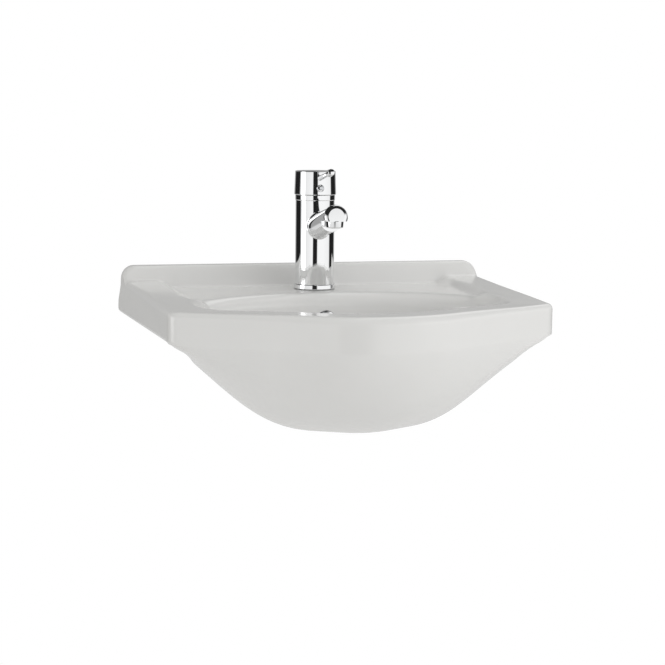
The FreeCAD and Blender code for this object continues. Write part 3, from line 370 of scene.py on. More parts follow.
def round_corner(before, here, after, radius):
    """Centre, radius, angle and half arc of a rounded corner, and where it starts and ends."""
    back = (before - here).normalized()
    onward = (after - here).normalized()
    half = back.angle(onward) / 2
    centre = here + (back + onward).normalized() * (radius / math.sin(half))
    run = radius / math.tan(half)
    angle = math.atan2(here.y - centre.y, here.x - centre.x)
    arc = radius * (math.pi / 2 - half)
    return centre, radius, angle, arc, here + back * run, here + onward * run


def on_circle(centre, radius, angle):
    return centre + radius * Vector((math.cos(angle), math.sin(angle)))


def walk(corners):
    """Points round an outline of (x, y, radius) corners, from nose to nose."""
    spots = [Vector(corner[:2]) for corner in corners]
    turns = []
    for index, corner in enumerate(corners):
        after = spots[(index + 1) % len(spots)]
        turns.append(round_corner(spots[index - 1], spots[index], after, corner[2]))
    points = []
    for index, steps in enumerate(STEPS):
        centre, radius, angle, arc, _, leave = turns[index]
        end_centre, end_radius, end_angle, end_arc, enter, _ = turns[(index + 1) % len(turns)]
        straight = (enter - leave).length
        total = arc + straight + end_arc
        for step in range(steps):
            run = total * crowd(step / steps, CORNER_CROWD)
            if run < arc:
                point = on_circle(centre, radius, angle + run / radius)
            elif run <= arc + straight:
                point = leave.lerp(enter, (run - arc) / straight)
            else:
                point = on_circle(end_centre, end_radius, end_angle - (total - run) / end_radius)
            points.append(point)
    return points


print("front slope", round(SLOPE, 3))

# %% [markdown]
# The skirt's outline is drawn in by an inset wherever a ring lies inside it. The belly starts as the
# skirt's outline and shrinks to the foot round the waste. Its nose stays upright longer than its
# sides, which sweep in like a bell, and just below the skirt its front corners are tucked in.

# %% Outline of the skirt
def nose_setback(radius):
    """Distance from a rounded nose to the point where its straight edges would meet."""
    return radius * (math.hypot(1, SLOPE) - 1)


def plan(inset):
    """Outline of the basin from above, drawn in by an inset."""
    taper = (HALF_WIDTH - FRONT_HALF) / SIDE_DEPTH
    side = HALF_WIDTH - inset * math.hypot(1, taper)
    nose_y = -DEPTH - nose_setback(NOSE_RADIUS) + inset * math.hypot(1, SLOPE)
    front = (side + taper * nose_y) / (1 - taper * SLOPE)
    corner_y = nose_y + SLOPE * front
    corner = max(CORNER_RADIUS - inset, 0.0)
    wall = side - taper * inset
    return walk([(0, nose_y, NOSE_RADIUS - inset), (front, corner_y, corner), (wall, -inset, 0),
                 (-wall, -inset, 0), (-front, corner_y, corner)])


print("skirt points", len(plan(0)))

# %% Outline of the belly on its way down
FOOT_Z = -155.0
FOOT_HALF = 54.0
FOOT_FRONT = 70.0              # waste to the foot's nose
FOOT_BACK = 55.0               # waste to the foot's back
FOOT_BACK_HALF = 43.0
FOOT_NOSE_RADIUS = 30.0
FOOT_CORNER_RADIUS = 28.0
FOOT_BACK_RADIUS = 20.0
BELLY_BACK = 112.0             # wall to the belly's back, under the skirt
BELLY_BACK_HALF = 168.0
BELLY_BACK_RADIUS = 50.0
CORNER_SWELL = 109.0           # what the corners' radius gains halfway down
NOSE_POWER = 1.7
SIDE_POWER = 1.3
SIDE_ROOT = 0.56
TUCK = 5.2                     # how far the front corners draw in
TUCK_STARTS = (3, 15)          # below the skirt
TUCK_ENDS = (16, 34)


def belly(sink):
    """Outline of the belly, from sink 0 at the skirt to 1 at the foot."""
    fall = math.sqrt(max(1 - sink ** NOSE_POWER, 0))
    spread = max(1 - sink ** SIDE_POWER, 0) ** SIDE_ROOT
    drop = sink * (SKIRT_LOW - FOOT_Z)
    tuck = TUCK * smooth(*TUCK_STARTS, drop) * (1 - smooth(*TUCK_ENDS, drop))
    half = mix(FOOT_HALF, FRONT_HALF, spread) - tuck
    nose = mix(FOOT_NOSE_RADIUS, NOSE_RADIUS, spread)
    nose_y = mix(WASTE_Y - FOOT_FRONT, -DEPTH, fall) - nose_setback(nose)
    swell = 4 * CORNER_SWELL * sink * (1 - sink)
    corner = mix(CORNER_RADIUS, FOOT_CORNER_RADIUS, sink) + swell
    corner_y = nose_y + SLOPE * half
    back_y = mix(-BELLY_BACK, WASTE_Y + FOOT_BACK, sink ** 2)
    back_half = mix(FOOT_BACK_HALF, BELLY_BACK_HALF, spread)
    back_round = mix(FOOT_BACK_RADIUS, BELLY_BACK_RADIUS, spread)
    return walk([(0, nose_y, nose), (half, corner_y, corner), (back_half, back_y, back_round),
                 (-back_half, back_y, back_round), (-half, corner_y, corner)])


print("belly points", len(belly(0)))

# %% [markdown]
# The bowl is an oval that is drawn in between its front and its sides. Its rings are measured by
# angle round the waste, and its lip rolls over with a wider curve at the sides than at the front.

# %% Rings of the bowl
BOWL_DEPTH = 112.0
BOWL_HALF = 182.0
BOWL_MIDDLE_Y = -255.0
BOWL_FRONT_Y = -383.0
BOWL_BACK_Y = -132.0
BOWL_FLOOR_HALF = 45.0
BOWL_FLOOR_REACH = 43.0        # from the waste to the front and the back
BOWL_SIDE_POWER = 2.8
BOWL_SIDE_ROOT = 0.5
BOWL_WALL_POWER = 3.5
BOWL_WALL_ROOT = 1 / 3
FRONT_DRAW = 0.16              # share by which the oval is drawn in
BOWL_STATIONS = (-90, -14, 46, 134, 194, 270)  # degrees where the outline has its corners
BOWL_CROWD = 0.35
LIP_FRONT = 5.0
LIP_SIDE = 17.0
LIP_GROWS = (-0.95, -0.2)      # sine of the angle


def bowl_angles():
    """Angles round the waste, with as many steps from corner to corner as the outline has."""
    angles = []
    for steps, start, end in zip(STEPS, BOWL_STATIONS, BOWL_STATIONS[1:]):
        for step in range(steps):
            angles.append(math.radians(mix(start, end, crowd(step / steps, BOWL_CROWD))))
    return angles


ANGLES = bowl_angles()


def bowl_point(angle, depth, spread):
    """A point of the bowl at a share of its depth, moved outwards by a spread."""
    side = max(1 - depth ** BOWL_SIDE_POWER, 0) ** BOWL_SIDE_ROOT
    steep = max(1 - depth ** BOWL_WALL_POWER, 0) ** BOWL_WALL_ROOT
    half = mix(BOWL_FLOOR_HALF, BOWL_HALF, side) + spread
    centre = mix(BOWL_MIDDLE_Y, WASTE_Y, depth ** 2)
    front = mix(WASTE_Y - BOWL_FLOOR_REACH, BOWL_FRONT_Y, steep)
    back = mix(WASTE_Y + BOWL_FLOOR_REACH, BOWL_BACK_Y, steep)
    reach = back - centre + spread
    if math.sin(angle) < 0:
        draw = FRONT_DRAW * (1 - depth) * math.sin(2 * angle) ** 2
        reach = (centre - front + spread) * (1 - draw)
    return Vector((half * math.cos(angle), centre + reach * math.sin(angle)))


def circle(radius):
    """A ring's points on a circle round the waste."""
    return [Vector((radius * math.cos(a), WASTE_Y + radius * math.sin(a))) for a in ANGLES]


def lip_width(angle):
    return mix(LIP_FRONT, LIP_SIDE, smooth(*LIP_GROWS, math.sin(angle)))


print("lip from", round(lip_width(-math.pi / 2), 1), "to", round(lip_width(0), 1), "mm")

# %% [markdown]
# The upper face is a height over every point: wings that rise a little towards the wall, a recess
# that sinks 5 mm behind a soft edge, and the upstand, which rises along the wall and comes down
# round its two ends. Its outer edge is rounded, more at the nose than at the corners.

# %% Height of the upper face
RECESS_HALF = 203.0
RECESS_SIDE = 275.0            # wall to the recess's front
RECESS_TURN = 110.0            # radius of its corners
RECESS_SLOPE = 26.0
RECESS_DEPTH = 5.0
UPSTAND_HEIGHT = 22.8
UPSTAND_END = 17.0             # radius of its two ends
UPSTAND_TOP = 8.0
UPSTAND_FOOT = 34.0
BACK_EDGE_ROUND = 1.5
WING_BACK = 4.6
WING_FRONT = -1.5
WING_STARTS = (80, 220)        # to either side
NOSE_EDGE = 10.0
CORNER_EDGE = 7.0
EDGE_NARROWS = (40, 215)       # to either side
FAR_INSIDE = 99.0


def rounding(inset, radius):
    """How far a rounded edge lies below its face at an inset from its side."""
    if inset >= radius:
        return 0.0
    return radius - math.sqrt(radius ** 2 - (radius - inset) ** 2)


def edge_round(x):
    """Radius of the upper edge: wider at the nose than at the corners."""
    return mix(NOSE_EDGE, CORNER_EDGE, smooth(*EDGE_NARROWS, abs(x)))


def upstand_crest(x):
    """Height of the upstand at the wall, with its two round ends."""
    over = min(max(abs(x) - HALF_WIDTH + UPSTAND_END, 0) / UPSTAND_END, 1)
    return UPSTAND_HEIGHT - UPSTAND_END * (1 - math.sqrt(1 - over ** 2))


def top_height(x, y, side_inset=FAR_INSIDE):
    """Height of the upper face at a place that lies side_inset from the outer edge."""
    across = abs(x) - (RECESS_HALF - RECESS_TURN)
    onward = -y - (RECESS_SIDE - RECESS_TURN)
    outside = max(across, onward) - RECESS_TURN
    if across > 0 and onward > 0:
        outside = math.hypot(across, onward) - RECESS_TURN
    wing = mix(WING_BACK, WING_FRONT, min(-y / SIDE_DEPTH, 1)) * smooth(*WING_STARTS, abs(x))
    sunk = mix(wing, -RECESS_DEPTH, smooth(0, RECESS_SLOPE, -outside))
    face = sunk - rounding(side_inset, edge_round(x))
    rise = 1 - smooth(UPSTAND_TOP, UPSTAND_FOOT, -y)
    return mix(face, upstand_crest(x), rise) - rounding(-y, BACK_EDGE_ROUND)


print("upstand", round(top_height(0, 0), 1), "recess", round(top_height(0, -100), 1), "mm")

# %% [markdown]
# Now the rings are listed in the order in which the skin grows. The first ones line the waste hole
# and the pocket in the foot where its nut sits. Then the belly's rings climb to the skirt. A low
# ridge on the back of the belly carries the overflow's water way. Along the front, belly and skirt
# meet, so the belly's upper points slide along it until each lies next to its point on the skirt.

# %% Rings of the waste hole and the foot
OUTLET_RADIUS = 23.0
OUTLET_EASE = 1.0
OUTLET_MIDDLE_Z = -130.0
SEAT_Z = -117.0
POCKET_RADIUS = 37.0
POCKET_Z = -143.0
POCKET_EASE = 0.6
FOOT_EASE = 1.4


def level_ring(points, z):
    return [(p.x, p.y, z) for p in points]


skin = []
for radius, z in (
        (OUTLET_RADIUS, SEAT_Z - OUTLET_EASE), (OUTLET_RADIUS, OUTLET_MIDDLE_Z),
        (OUTLET_RADIUS, POCKET_Z + POCKET_EASE), (OUTLET_RADIUS + POCKET_EASE, POCKET_Z),
        (POCKET_RADIUS - POCKET_EASE, POCKET_Z), (POCKET_RADIUS, POCKET_Z - POCKET_EASE),
        (POCKET_RADIUS, FOOT_Z + FOOT_EASE), (POCKET_RADIUS + FOOT_EASE, FOOT_Z)):
    skin.append(level_ring(circle(radius), z))
halfway = []
for near, far in zip(circle(POCKET_RADIUS + FOOT_EASE), belly(1)):
    halfway.append((mix(near.x, far.x, 0.5), mix(near.y, far.y, 0.5), FOOT_Z))
skin.append(halfway)
print("rings to the foot", len(skin))

# %% Rings of the belly
BELLY_RINGS = 30
FRONT_SLIDES = (56, 70)        # points from the nose between which the sliding fades out
SLIDE_DEPTH = 45.0             # below the skirt
SAME_PLACE = 0.3
RIDGE_Y = -111.0
RIDGE_END_Z = -103.0           # below this the ridge runs out
RIDGE_SLOPE = 0.9
RIDGE_SIDES = (20, 36)


def nearest(point, line):
    """The point of a closed line of points that lies nearest to a point."""
    found = []
    for start, end in zip(line, line[1:] + line[:1]):
        run = end - start
        share = min(max((point - start).dot(run) / max(run.length_squared, 1e-9), 0), 1)
        found.append(start + run * share)
    return min(found, key=lambda place: (place - point).length)


outer = plan(0)
upper_belly = belly(0)
slides = []
for index, (skirt_point, belly_point) in enumerate(zip(outer, upper_belly)):
    along_front = 1 - smooth(*FRONT_SLIDES, min(index, len(outer) - index))
    below = nearest(skirt_point, upper_belly)
    if (skirt_point - below).length < SAME_PLACE:
        below = skirt_point
    slides.append((below - belly_point) * along_front)
for step in range(BELLY_RINGS + 1):
    sink = 0.5 + 0.5 * math.cos(math.pi * step / BELLY_RINGS)
    z = mix(SKIRT_LOW, FOOT_Z, sink)
    ridge = RIDGE_Y - max(RIDGE_END_Z - z, 0) * RIDGE_SLOPE
    slid = 1 - smooth(0, SLIDE_DEPTH, SKIRT_LOW - z)
    ring = []
    for index, p in enumerate(belly(sink)):
        p = p + slides[index] * slid
        proud = 0.0
        if on_back(index):
            proud = max(ridge - p.y, 0) * (1 - smooth(*RIDGE_SIDES, abs(p.x)))
        ring.append((p.x, p.y + proud, z))
    skin.append(ring)
print("rings to the skirt", len(skin))

# %% [markdown]
# Under the wings a cast basin is hollow, to save weight and to dry evenly. The rings climb the back
# of the belly, cross under the deck and come down inside the skirt. Towards the front corners the
# hollow runs out, and there its rings fall together and are merged at the end. The skirt's lower
# edge is rounded as far as the gap beside it allows.

# %% Rings of the hollow and the skirt
HOLLOW_OPENS = (16, 26)        # gap between belly and skirt
HOLLOW_SECTION = (             # shares of the way across and up
    (0.0, 0.7), (0.03, 0.93), (0.12, 1.0), (0.5, 1.0), (0.9, 1.0), (0.98, 0.93), (1.0, 0.7), (1.0, 0.0))
LOW_ROUND = 6.0
LOW_SHARE = 0.8                # share of the gap that the lower rounding may take
LOW_TURNS = (0, 22, 45, 68, 90)
SKIRT_SHARES = (0.12, 0.3, 0.55, 0.8)


def edge_inset(index, x, inset):
    """Distance to the edge that is rounded: along the wall only the side edges are."""
    return HALF_WIDTH - abs(x) if on_back(index) else inset


belly_top = [Vector(p) for p in skin[-1]]
gaps = [(a - b.to_2d()).length for a, b in zip(outer, belly_top)]
opened = [smooth(*HOLLOW_OPENS, gap) for gap in gaps]
for across, rise in HOLLOW_SECTION:
    ring = []
    for start, wall, share in zip(belly_top, plan(SKIRT_WALL), opened):
        x = mix(start.x, wall.x, across * share)
        y = mix(start.y, wall.y, across * share)
        ring.append((x, y, mix(SKIRT_LOW, HOLLOW_TOP, rise * share)))
    skin.append(ring)
eases = [min(LOW_SHARE * gap, LOW_ROUND) for gap in gaps]
for turn in LOW_TURNS:
    sine = math.sin(math.radians(turn))
    cosine = math.cos(math.radians(turn))
    ring = []
    for a, b, ease in zip(outer, plan(LOW_ROUND), eases):
        drawn = (1 - sine) * ease / LOW_ROUND
        ring.append((mix(a.x, b.x, drawn), mix(a.y, b.y, drawn), SKIRT_LOW + ease * (1 - cosine)))
    skin.append(ring)
low_edge = skin[-1]
crest = [top_height(p.x, p.y, edge_inset(index, p.x, 0.0)) for index, p in enumerate(outer)]
for share in SKIRT_SHARES:
    skin.append([(x, y, mix(z, high, share)) for (x, y, z), high in zip(low_edge, crest)])
print("rings to the deck", len(skin), "open share", round(sum(opened) / len(opened), 2))

# %% [markdown]
# On the deck the first rings lie close together, because the rounded edge needs them. The others
# go evenly from the edge to the lip of the bowl, and at the back they crowd towards the upstand.

# %% Rings of the deck
EDGE_INSETS = (0, 0.15, 0.5, 1.2, 2.2, 3.4, 4.8, 6.5, 8.5, 11, 13.5, 16.5)
DECK_RINGS = 40
BACK_CROWD = 1.8
BACK_CROWDS = (-330, -30)      # from the front to the wall

for inset in EDGE_INSETS:
    ring = []
    for index, p in enumerate(plan(inset)):
        ring.append((p.x, p.y, top_height(p.x, p.y, edge_inset(index, p.x, inset))))
    skin.append(ring)
deck_edge = plan(EDGE_INSETS[-1])
lip_edge = [bowl_point(angle, 0, lip_width(angle)) for angle in ANGLES]
for step in range(1, DECK_RINGS + 1):
    ring = []
    for start, end in zip(deck_edge, lip_edge):
        power = mix(1.0, BACK_CROWD, smooth(*BACK_CROWDS, start.y))
        p = start.lerp(end, (step / DECK_RINGS) ** power)
        ring.append((p.x, p.y, top_height(p.x, p.y, EDGE_INSETS[-1] + (p - start).length)))
    skin.append(ring)
print("rings to the lip", len(skin))

# %% [markdown]
# The lip is a quarter turn from the deck into the bowl. Below it the bowl's rings lie closer and
# closer towards the floor, which is nearly flat, and the last ones form the seat of the waste.

# %% Rings of the lip, the bowl and the waste seat
LIP_TURNS = (12, 24, 36, 48, 60, 72, 81, 90)
BOWL_RINGS = 28
SEAT_RADIUS = 33.0
SEAT_MARGIN = 4.0
SEAT_EASE = 1.4
SEAT_EASE_MIDDLE = 0.4
OUTLET_EASE_MIDDLE = 0.3

rim = [top_height(p.x, p.y) for p in lip_edge]
for turn in LIP_TURNS:
    sine = math.sin(math.radians(turn))
    fall = 1 - math.cos(math.radians(turn))
    ring = []
    for angle, high in zip(ANGLES, rim):
        wide = lip_width(angle)
        depth = (wide - high) / BOWL_DEPTH * fall
        p = bowl_point(angle, depth, wide * (1 - sine))
        ring.append((p.x, p.y, high - wide * fall))
    skin.append(ring)
for step in range(1, BOWL_RINGS + 1):
    ring = []
    for angle, high in zip(ANGLES, rim):
        start = (lip_width(angle) - high) / BOWL_DEPTH
        depth = mix(1, start, (1 - step / BOWL_RINGS) ** 2)
        p = bowl_point(angle, depth, 0)
        ring.append((p.x, p.y, -BOWL_DEPTH * depth))
    skin.append(ring)
for radius, z in (
        (SEAT_RADIUS + SEAT_MARGIN, -BOWL_DEPTH), (SEAT_RADIUS + SEAT_EASE, -BOWL_DEPTH),
        (SEAT_RADIUS + SEAT_EASE_MIDDLE, -BOWL_DEPTH - SEAT_EASE_MIDDLE),
        (SEAT_RADIUS, -BOWL_DEPTH - SEAT_EASE), (SEAT_RADIUS, SEAT_Z),
        (OUTLET_RADIUS + OUTLET_EASE, SEAT_Z),
        (OUTLET_RADIUS + OUTLET_EASE_MIDDLE, SEAT_Z - OUTLET_EASE_MIDDLE),
        (OUTLET_RADIUS, SEAT_Z - OUTLET_EASE)):
    skin.append(level_ring(circle(radius), z))
print("rings to the outlet", len(skin))

# %% [markdown]
# The sides of the casting lean inwards a little on their way up, so that it leaves its mould. The
# lean could be drawn into every ring, but moving the finished points sideways is simpler. It fades
# out towards the front corners.

# %% Lean the sides
SIDE_LEAN = 3.5
LEAN_HEIGHTS = (-30, 4)
LEAN_ACROSS = (200, 246)
LEAN_ALONG = (-310, -90)


def leaned(point):
    x, y, z = point
    share = smooth(*LEAN_HEIGHTS, z) * smooth(*LEAN_ACROSS, abs(x)) * smooth(*LEAN_ALONG, y)
    return (x - math.copysign(SIDE_LEAN * share, x), y, z)


skin = [[leaned(point) for point in ring] for ring in skin]
print("rings in all", len(skin), "points", len(skin) * len(skin[0]))

# %% [markdown]
# With the rings listed, drawing is simple: a circle with 380 points is put on the first ring, and
# every extrude makes the next band of faces. The ends meet in the waste hole, where the doubled
# points are merged, and the normals are turned outwards.

# %% Helpers that grow a skin
MERGE_DISTANCE = 0.02
SLIVER = 0.01


def start_loop(name, count):
    """A circle in edit mode, with nothing else selected."""
    bpy.ops.object.select_all(action="DESELECT")
    bpy.ops.mesh.primitive_circle_add(vertices=count, radius=0.1)
    piece = bpy.context.active_object
    piece.name = name
    piece.data.name = name
    bpy.ops.object.mode_set(mode="EDIT")
    bpy.ops.mesh.select_mode(type="EDGE")
    return piece


def place_loop(piece, loop, places):
    """Moves the points of a loop to their places, given in millimetres."""
    shape = bmesh.from_edit_mesh(piece.data)
    shape.verts.ensure_lookup_table()
    for index, place in zip(loop, places):
        shape.verts[index].co = Vector(place) * MM
    bmesh.update_edit_mesh(piece.data)


def next_loop(piece, loop):
    """Extrudes the selected loop and gives the new points in the order of the old ones."""
    bpy.ops.mesh.extrude_region()
    shape = bmesh.from_edit_mesh(piece.data)
    shape.verts.index_update()
    shape.verts.ensure_lookup_table()
    new_loop = []
    for index in loop:
        old = shape.verts[index]
        ends = [edge.other_vert(old) for edge in old.link_edges]
        new_loop.append(next(end.index for end in ends if end.select))
    return new_loop


def close_up(piece, angle):
    """Merges doubled points, turns the faces outwards and smooths them up to an angle."""
    bpy.ops.mesh.select_all(action="SELECT")
    bpy.ops.mesh.remove_doubles(threshold=MERGE_DISTANCE * MM)
    bpy.ops.mesh.dissolve_degenerate(threshold=SLIVER * MM)
    bpy.ops.mesh.select_all(action="SELECT")
    bpy.ops.mesh.normals_make_consistent(inside=False)
    bpy.ops.object.mode_set(mode="OBJECT")
    bpy.ops.object.shade_smooth_by_angle(angle=math.radians(angle))


# %% Draw the skin
CERAMIC_SMOOTH = 40

ceramic = start_loop("ceramic", len(skin[0]))
loop = list(range(len(skin[0])))
place_loop(ceramic, loop, skin[0])
for ring in skin[1:]:
    loop = next_loop(ceramic, loop)
    place_loop(ceramic, loop, ring)
close_up(ceramic, CERAMIC_SMOOTH)
print("ceramic faces", len(ceramic.data.polygons))

# %% [markdown]
# Holes come last, because they don't follow the rings: one for the tap, one for the overflow and
# two for the wall bolts. A cylinder is taken away with a Boolean each time.

# %% Bore the holes
TAP_Y = -70.0
TAP_HOLE = 17.5
TAP_HOLE_MIDDLE = -10.0
TAP_HOLE_LENGTH = 40.0
OVERFLOW_DROP = 40.0           # below the wings
OVERFLOW_HOLE = 10.5
OVERFLOW_HOLE_MIDDLE = 3.0     # behind the ring's seat
OVERFLOW_HOLE_LENGTH = 18.0
RING_SINK = 1.2                # how far the overflow ring is let into the bowl's wall
BOLT_X = 140.0
BOLT_Z = -27.0
BOLT_HOLE = 7.0
BOLT_HOLE_LENGTH = 30.0
UPRIGHT = (0.0, 0.0, 0.0)
TO_WALL = (math.pi / 2, 0.0, 0.0)


def bore(piece, middle, turn, radius, length):
    """Takes a cylinder away from a piece."""
    bpy.ops.object.select_all(action="DESELECT")
    bpy.ops.mesh.primitive_cylinder_add(
        vertices=64, radius=radius * MM, depth=length * MM, location=Vector(middle) * MM, rotation=turn)
    cutter = bpy.context.active_object
    bpy.ops.object.select_all(action="DESELECT")
    piece.select_set(True)
    bpy.context.view_layer.objects.active = piece
    bpy.ops.object.modifier_add(type="BOOLEAN")
    cut = piece.modifiers[-1]
    cut.operation = "DIFFERENCE"
    cut.solver = "EXACT"
    cut.object = cutter
    bpy.ops.object.modifier_apply(modifier=cut.name)
    bpy.data.objects.remove(cutter)


overflow_seat = bowl_point(math.pi / 2, OVERFLOW_DROP / BOWL_DEPTH, 0).y + RING_SINK
bore(ceramic, (0, TAP_Y, TAP_HOLE_MIDDLE), UPRIGHT, TAP_HOLE, TAP_HOLE_LENGTH)
overflow_middle = (0, overflow_seat + OVERFLOW_HOLE_MIDDLE, -OVERFLOW_DROP)
bore(ceramic, overflow_middle, TO_WALL, OVERFLOW_HOLE, OVERFLOW_HOLE_LENGTH)
for side in (-BOLT_X, BOLT_X):
    bore(ceramic, (side, -SKIRT_WALL / 2, BOLT_Z), TO_WALL, BOLT_HOLE, BOLT_HOLE_LENGTH)
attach(ceramic, "basin")
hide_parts("basin_body")
print("ceramic faces with holes", len(ceramic.data.polygons))

# %% [markdown]
# ## Turned pieces
# Base ring, band, handle, lever and the small rings are turned on a lathe and chromed. Lathe work
# is drawn as half a section and spun round its axis. Real chrome never has a knife edge, and the
# thin bright line on each rounded edge is what makes it read as metal, so every corner of a section
# has its own rounding.

# %% Sections and the lathe
EASE_STEPS = 6
CHROME_SMOOTH = 35
ON_AXIS = 1e-9
UP = (0, 0, 1)
TO_USER = (0, -1, 0)


def eased(corners):
    """Half a section as (radius, height) points, from (radius, height, rounding) corners."""
    points = []
    for index, (radius, height, ease) in enumerate(corners):
        here = Vector((radius, height))
        if ease == 0:
            points.append(here)
            continue
        back = (Vector(corners[index - 1][:2]) - here).normalized()
        onward = (Vector(corners[(index + 1) % len(corners)][:2]) - here).normalized()
        half = back.angle(onward) / 2
        centre = here + (back + onward).normalized() * (ease / math.sin(half))
        start = here + back * (ease / math.tan(half)) - centre
        end = here + onward * (ease / math.tan(half)) - centre
        for step in range(EASE_STEPS + 1):
            points.append(centre + start.slerp(end, step / EASE_STEPS))
    return points


def lathe(name, corners, foot, axis, turns=96):
    """Spins a section round an axis that starts at foot and lies in the basin's middle plane."""
    section = eased(corners)
    foot = Vector(foot)
    axis = Vector(axis).normalized()
    piece = start_loop(name, len(section))
    places = [foot + Vector((p.x, 0, 0)) + axis * p.y for p in section]
    place_loop(piece, range(len(section)), places)
    if corners[0][0] == 0 and corners[-1][0] == 0:
        bpy.ops.mesh.select_all(action="DESELECT")
        shape = bmesh.from_edit_mesh(piece.data)
        for edge in shape.edges:
            edge.select_set(all(abs(v.co.x) < ON_AXIS for v in edge.verts))
        bmesh.update_edit_mesh(piece.data)
        bpy.ops.mesh.delete(type="EDGE")
    bpy.ops.mesh.select_all(action="SELECT")
    bpy.ops.mesh.spin(steps=turns, angle=2 * math.pi, center=foot * MM, axis=axis)
    close_up(piece, CHROME_SMOOTH)
    bpy.ops.object.modifier_add(type="WEIGHTED_NORMAL")
    piece.modifiers[-1].keep_sharp = True
    bpy.ops.object.modifier_apply(modifier=piece.modifiers[-1].name)
    return piece


# %% [markdown]
# The tap stands on a foot ring. A band covers the nut above its column, and the handle is a cap that
# turns over the band. Each is a section of a few corners, drawn here as (radius, height, rounding).

# %% Foot ring, band and handle
TAP_FOOT = (0, TAP_Y, 0)


def base_ring():
    inside = 16.05
    rim = 27.2
    low = -3.8
    top = 1.7
    section = [(inside, low, 0), (rim, low, 0.3), (rim, top, 0.9), (inside, top, 0)]
    return lathe("base_ring", section, TAP_FOOT, UP)


def shroud_band():
    """A thin band whose sloping shoulder ends in a flat ring round the stem."""
    inside = 23.7
    rim = 25.5
    shoulder = 19.5
    eye = 12.5
    low = 112
    top = 120.4
    shoulder_foot = 118.4
    under = 118.7
    section = [(inside, low, 0), (rim, low, 0.45), (rim, shoulder_foot, 0.45), (shoulder, top, 0.5),
               (eye, top, 0.3), (eye, under, 0), (18.6, under, 0), (inside, 116.6, 0)]
    return lathe("shroud_band", section, TAP_FOOT, UP)


def handle():
    """A cap that is hollow below and has a fine chamfer round its lower edge."""
    inside = 26
    radius = 26.8
    low = 118.9
    ceiling = 131.9
    top = 150.2
    section = [(0, ceiling, 0), (inside, ceiling, 0.8), (inside, low + 0.2, 0), (inside + 0.1, low, 0),
               (radius, low + 0.7, 0.4), (radius, top, 1.4), (0, top, 0)]
    return lathe("handle", section, TAP_FOOT, UP)


# %% [markdown]
# The lever is a slim rod that tapers to a small knob and rises a little from the handle's front.
# Under it a domed plug closes the hole of the handle's screw. Both start at the handle's wall and
# move with it.

# %% Lever and index plug
HANDLE_WALL = 27.1             # from the tap's axis to where lever and plug start
HANDLE_FRONT = (0, TAP_Y - HANDLE_WALL)
LEVER_Z = 141.4
LEVER_RISE = math.radians(10)
LEVER_ROOT = (*HANDLE_FRONT, LEVER_Z)
LEVER_AXIS = (0, -math.cos(LEVER_RISE), math.sin(LEVER_RISE))
KNOB_START = 44
INDEX_Z = 127.9


def lever_rod():
    root = 3.65
    tip = 2.55
    sunk = -6
    end = 47
    section = [(0, sunk, 0), (root, sunk, 0), (root, 0, 0), (tip, KNOB_START, 0), (tip, end, 0),
               (0, end, 0)]
    return lathe("lever_rod", section, LEVER_ROOT, LEVER_AXIS, 48)


def lever_end():
    radius = 5.5
    end = 56
    section = [(0, KNOB_START, 0), (radius, KNOB_START, 1.6), (radius, end, 2.2), (0, end, 0)]
    return lathe("lever_end", section, LEVER_ROOT, LEVER_AXIS, 64)


def index_plug():
    """A short pin with a shallow dome."""
    radius = 4.2
    sunk = -4
    section = [(0, sunk, 0), (radius, sunk, 0), (radius, -0.48, 0.2)]
    for reach, rise in ((3.5, -0.18), (2.8, 0.07), (2.1, 0.26), (1.4, 0.4), (0.7, 0.48), (0, 0.5)):
        section.append((reach, rise, 0))
    return lathe("index_plug", section, (*HANDLE_FRONT, INDEX_Z), TO_USER, 48)


# %% [markdown]
# The nozzle screws into the underside of the spout's end, and the overflow ring sits in the bowl's
# back wall. Both are short tubes with a collar, and their rims are rounded all over.

# %% Nozzle and overflow ring
SPOUT_REACH = 98


def nozzle():
    mouth = 7
    rim = 10.5
    neck = 9.4
    inside = 7.8
    low = 82.3
    collar = 90.3
    top = 95.1
    lip = low + 0.8
    section = [(mouth, low, 0.2), (rim, low, 0.8), (rim, collar, 0.2), (neck, collar, 0),
               (neck, top, 0), (inside, top, 0), (inside, lip, 0), (mouth, lip, 0)]
    return lathe("nozzle", section, (0, TAP_Y - SPOUT_REACH, 0), UP)


def overflow_collar():
    inside = 9.25
    rim = 13.5
    neck = 10.4
    proud = 2.4
    sunk = -8.5
    section = [(inside, proud, 0.7), (rim, proud, 1.4), (rim, 0, 0.2), (neck, 0, 0), (neck, sunk, 0),
               (inside, sunk, 0)]
    return lathe("overflow_collar", section, (0, overflow_seat, -OVERFLOW_DROP), TO_USER)


# %% [markdown]
# Now the pieces are turned. Each one rides on the body that it moves with and takes the place of
# its solid, which is hidden.

# %% Turn the pieces
turned = {
    "tap_base_ring": (base_ring(), "basin"),
    "shroud": (shroud_band(), "basin"),
    "handle_cap": (handle(), "handle"),
    "lever_pin": (lever_rod(), "handle"),
    "lever_knob": (lever_end(), "handle"),
    "indicator_plug": (index_plug(), "handle"),
    "aerator_housing": (nozzle(), "basin"),
    "overflow_ring": (overflow_collar(), "basin"),
}
for node, (piece, body) in turned.items():
    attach(piece, body)
    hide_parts(node)
    print(piece.name, len(piece.data.polygons), "faces")

# %% [markdown]
# ## Finishes
# Each finish is a shader with its own small unevenness. One helper lays out what they share: a
# noise on Object coordinates that varies colour, roughness and a faint bump, so that no surface is
# one flat colour. The noise can be stretched along one axis, which gives the fine turning marks of
# brass and the grain of rolled steel.

# %% A helper for finishes
NOISE_DETAIL = 3.0
NOISE_ROUGHNESS = 0.55
NOISE_LOW = 0.3
NOISE_HIGH = 0.7


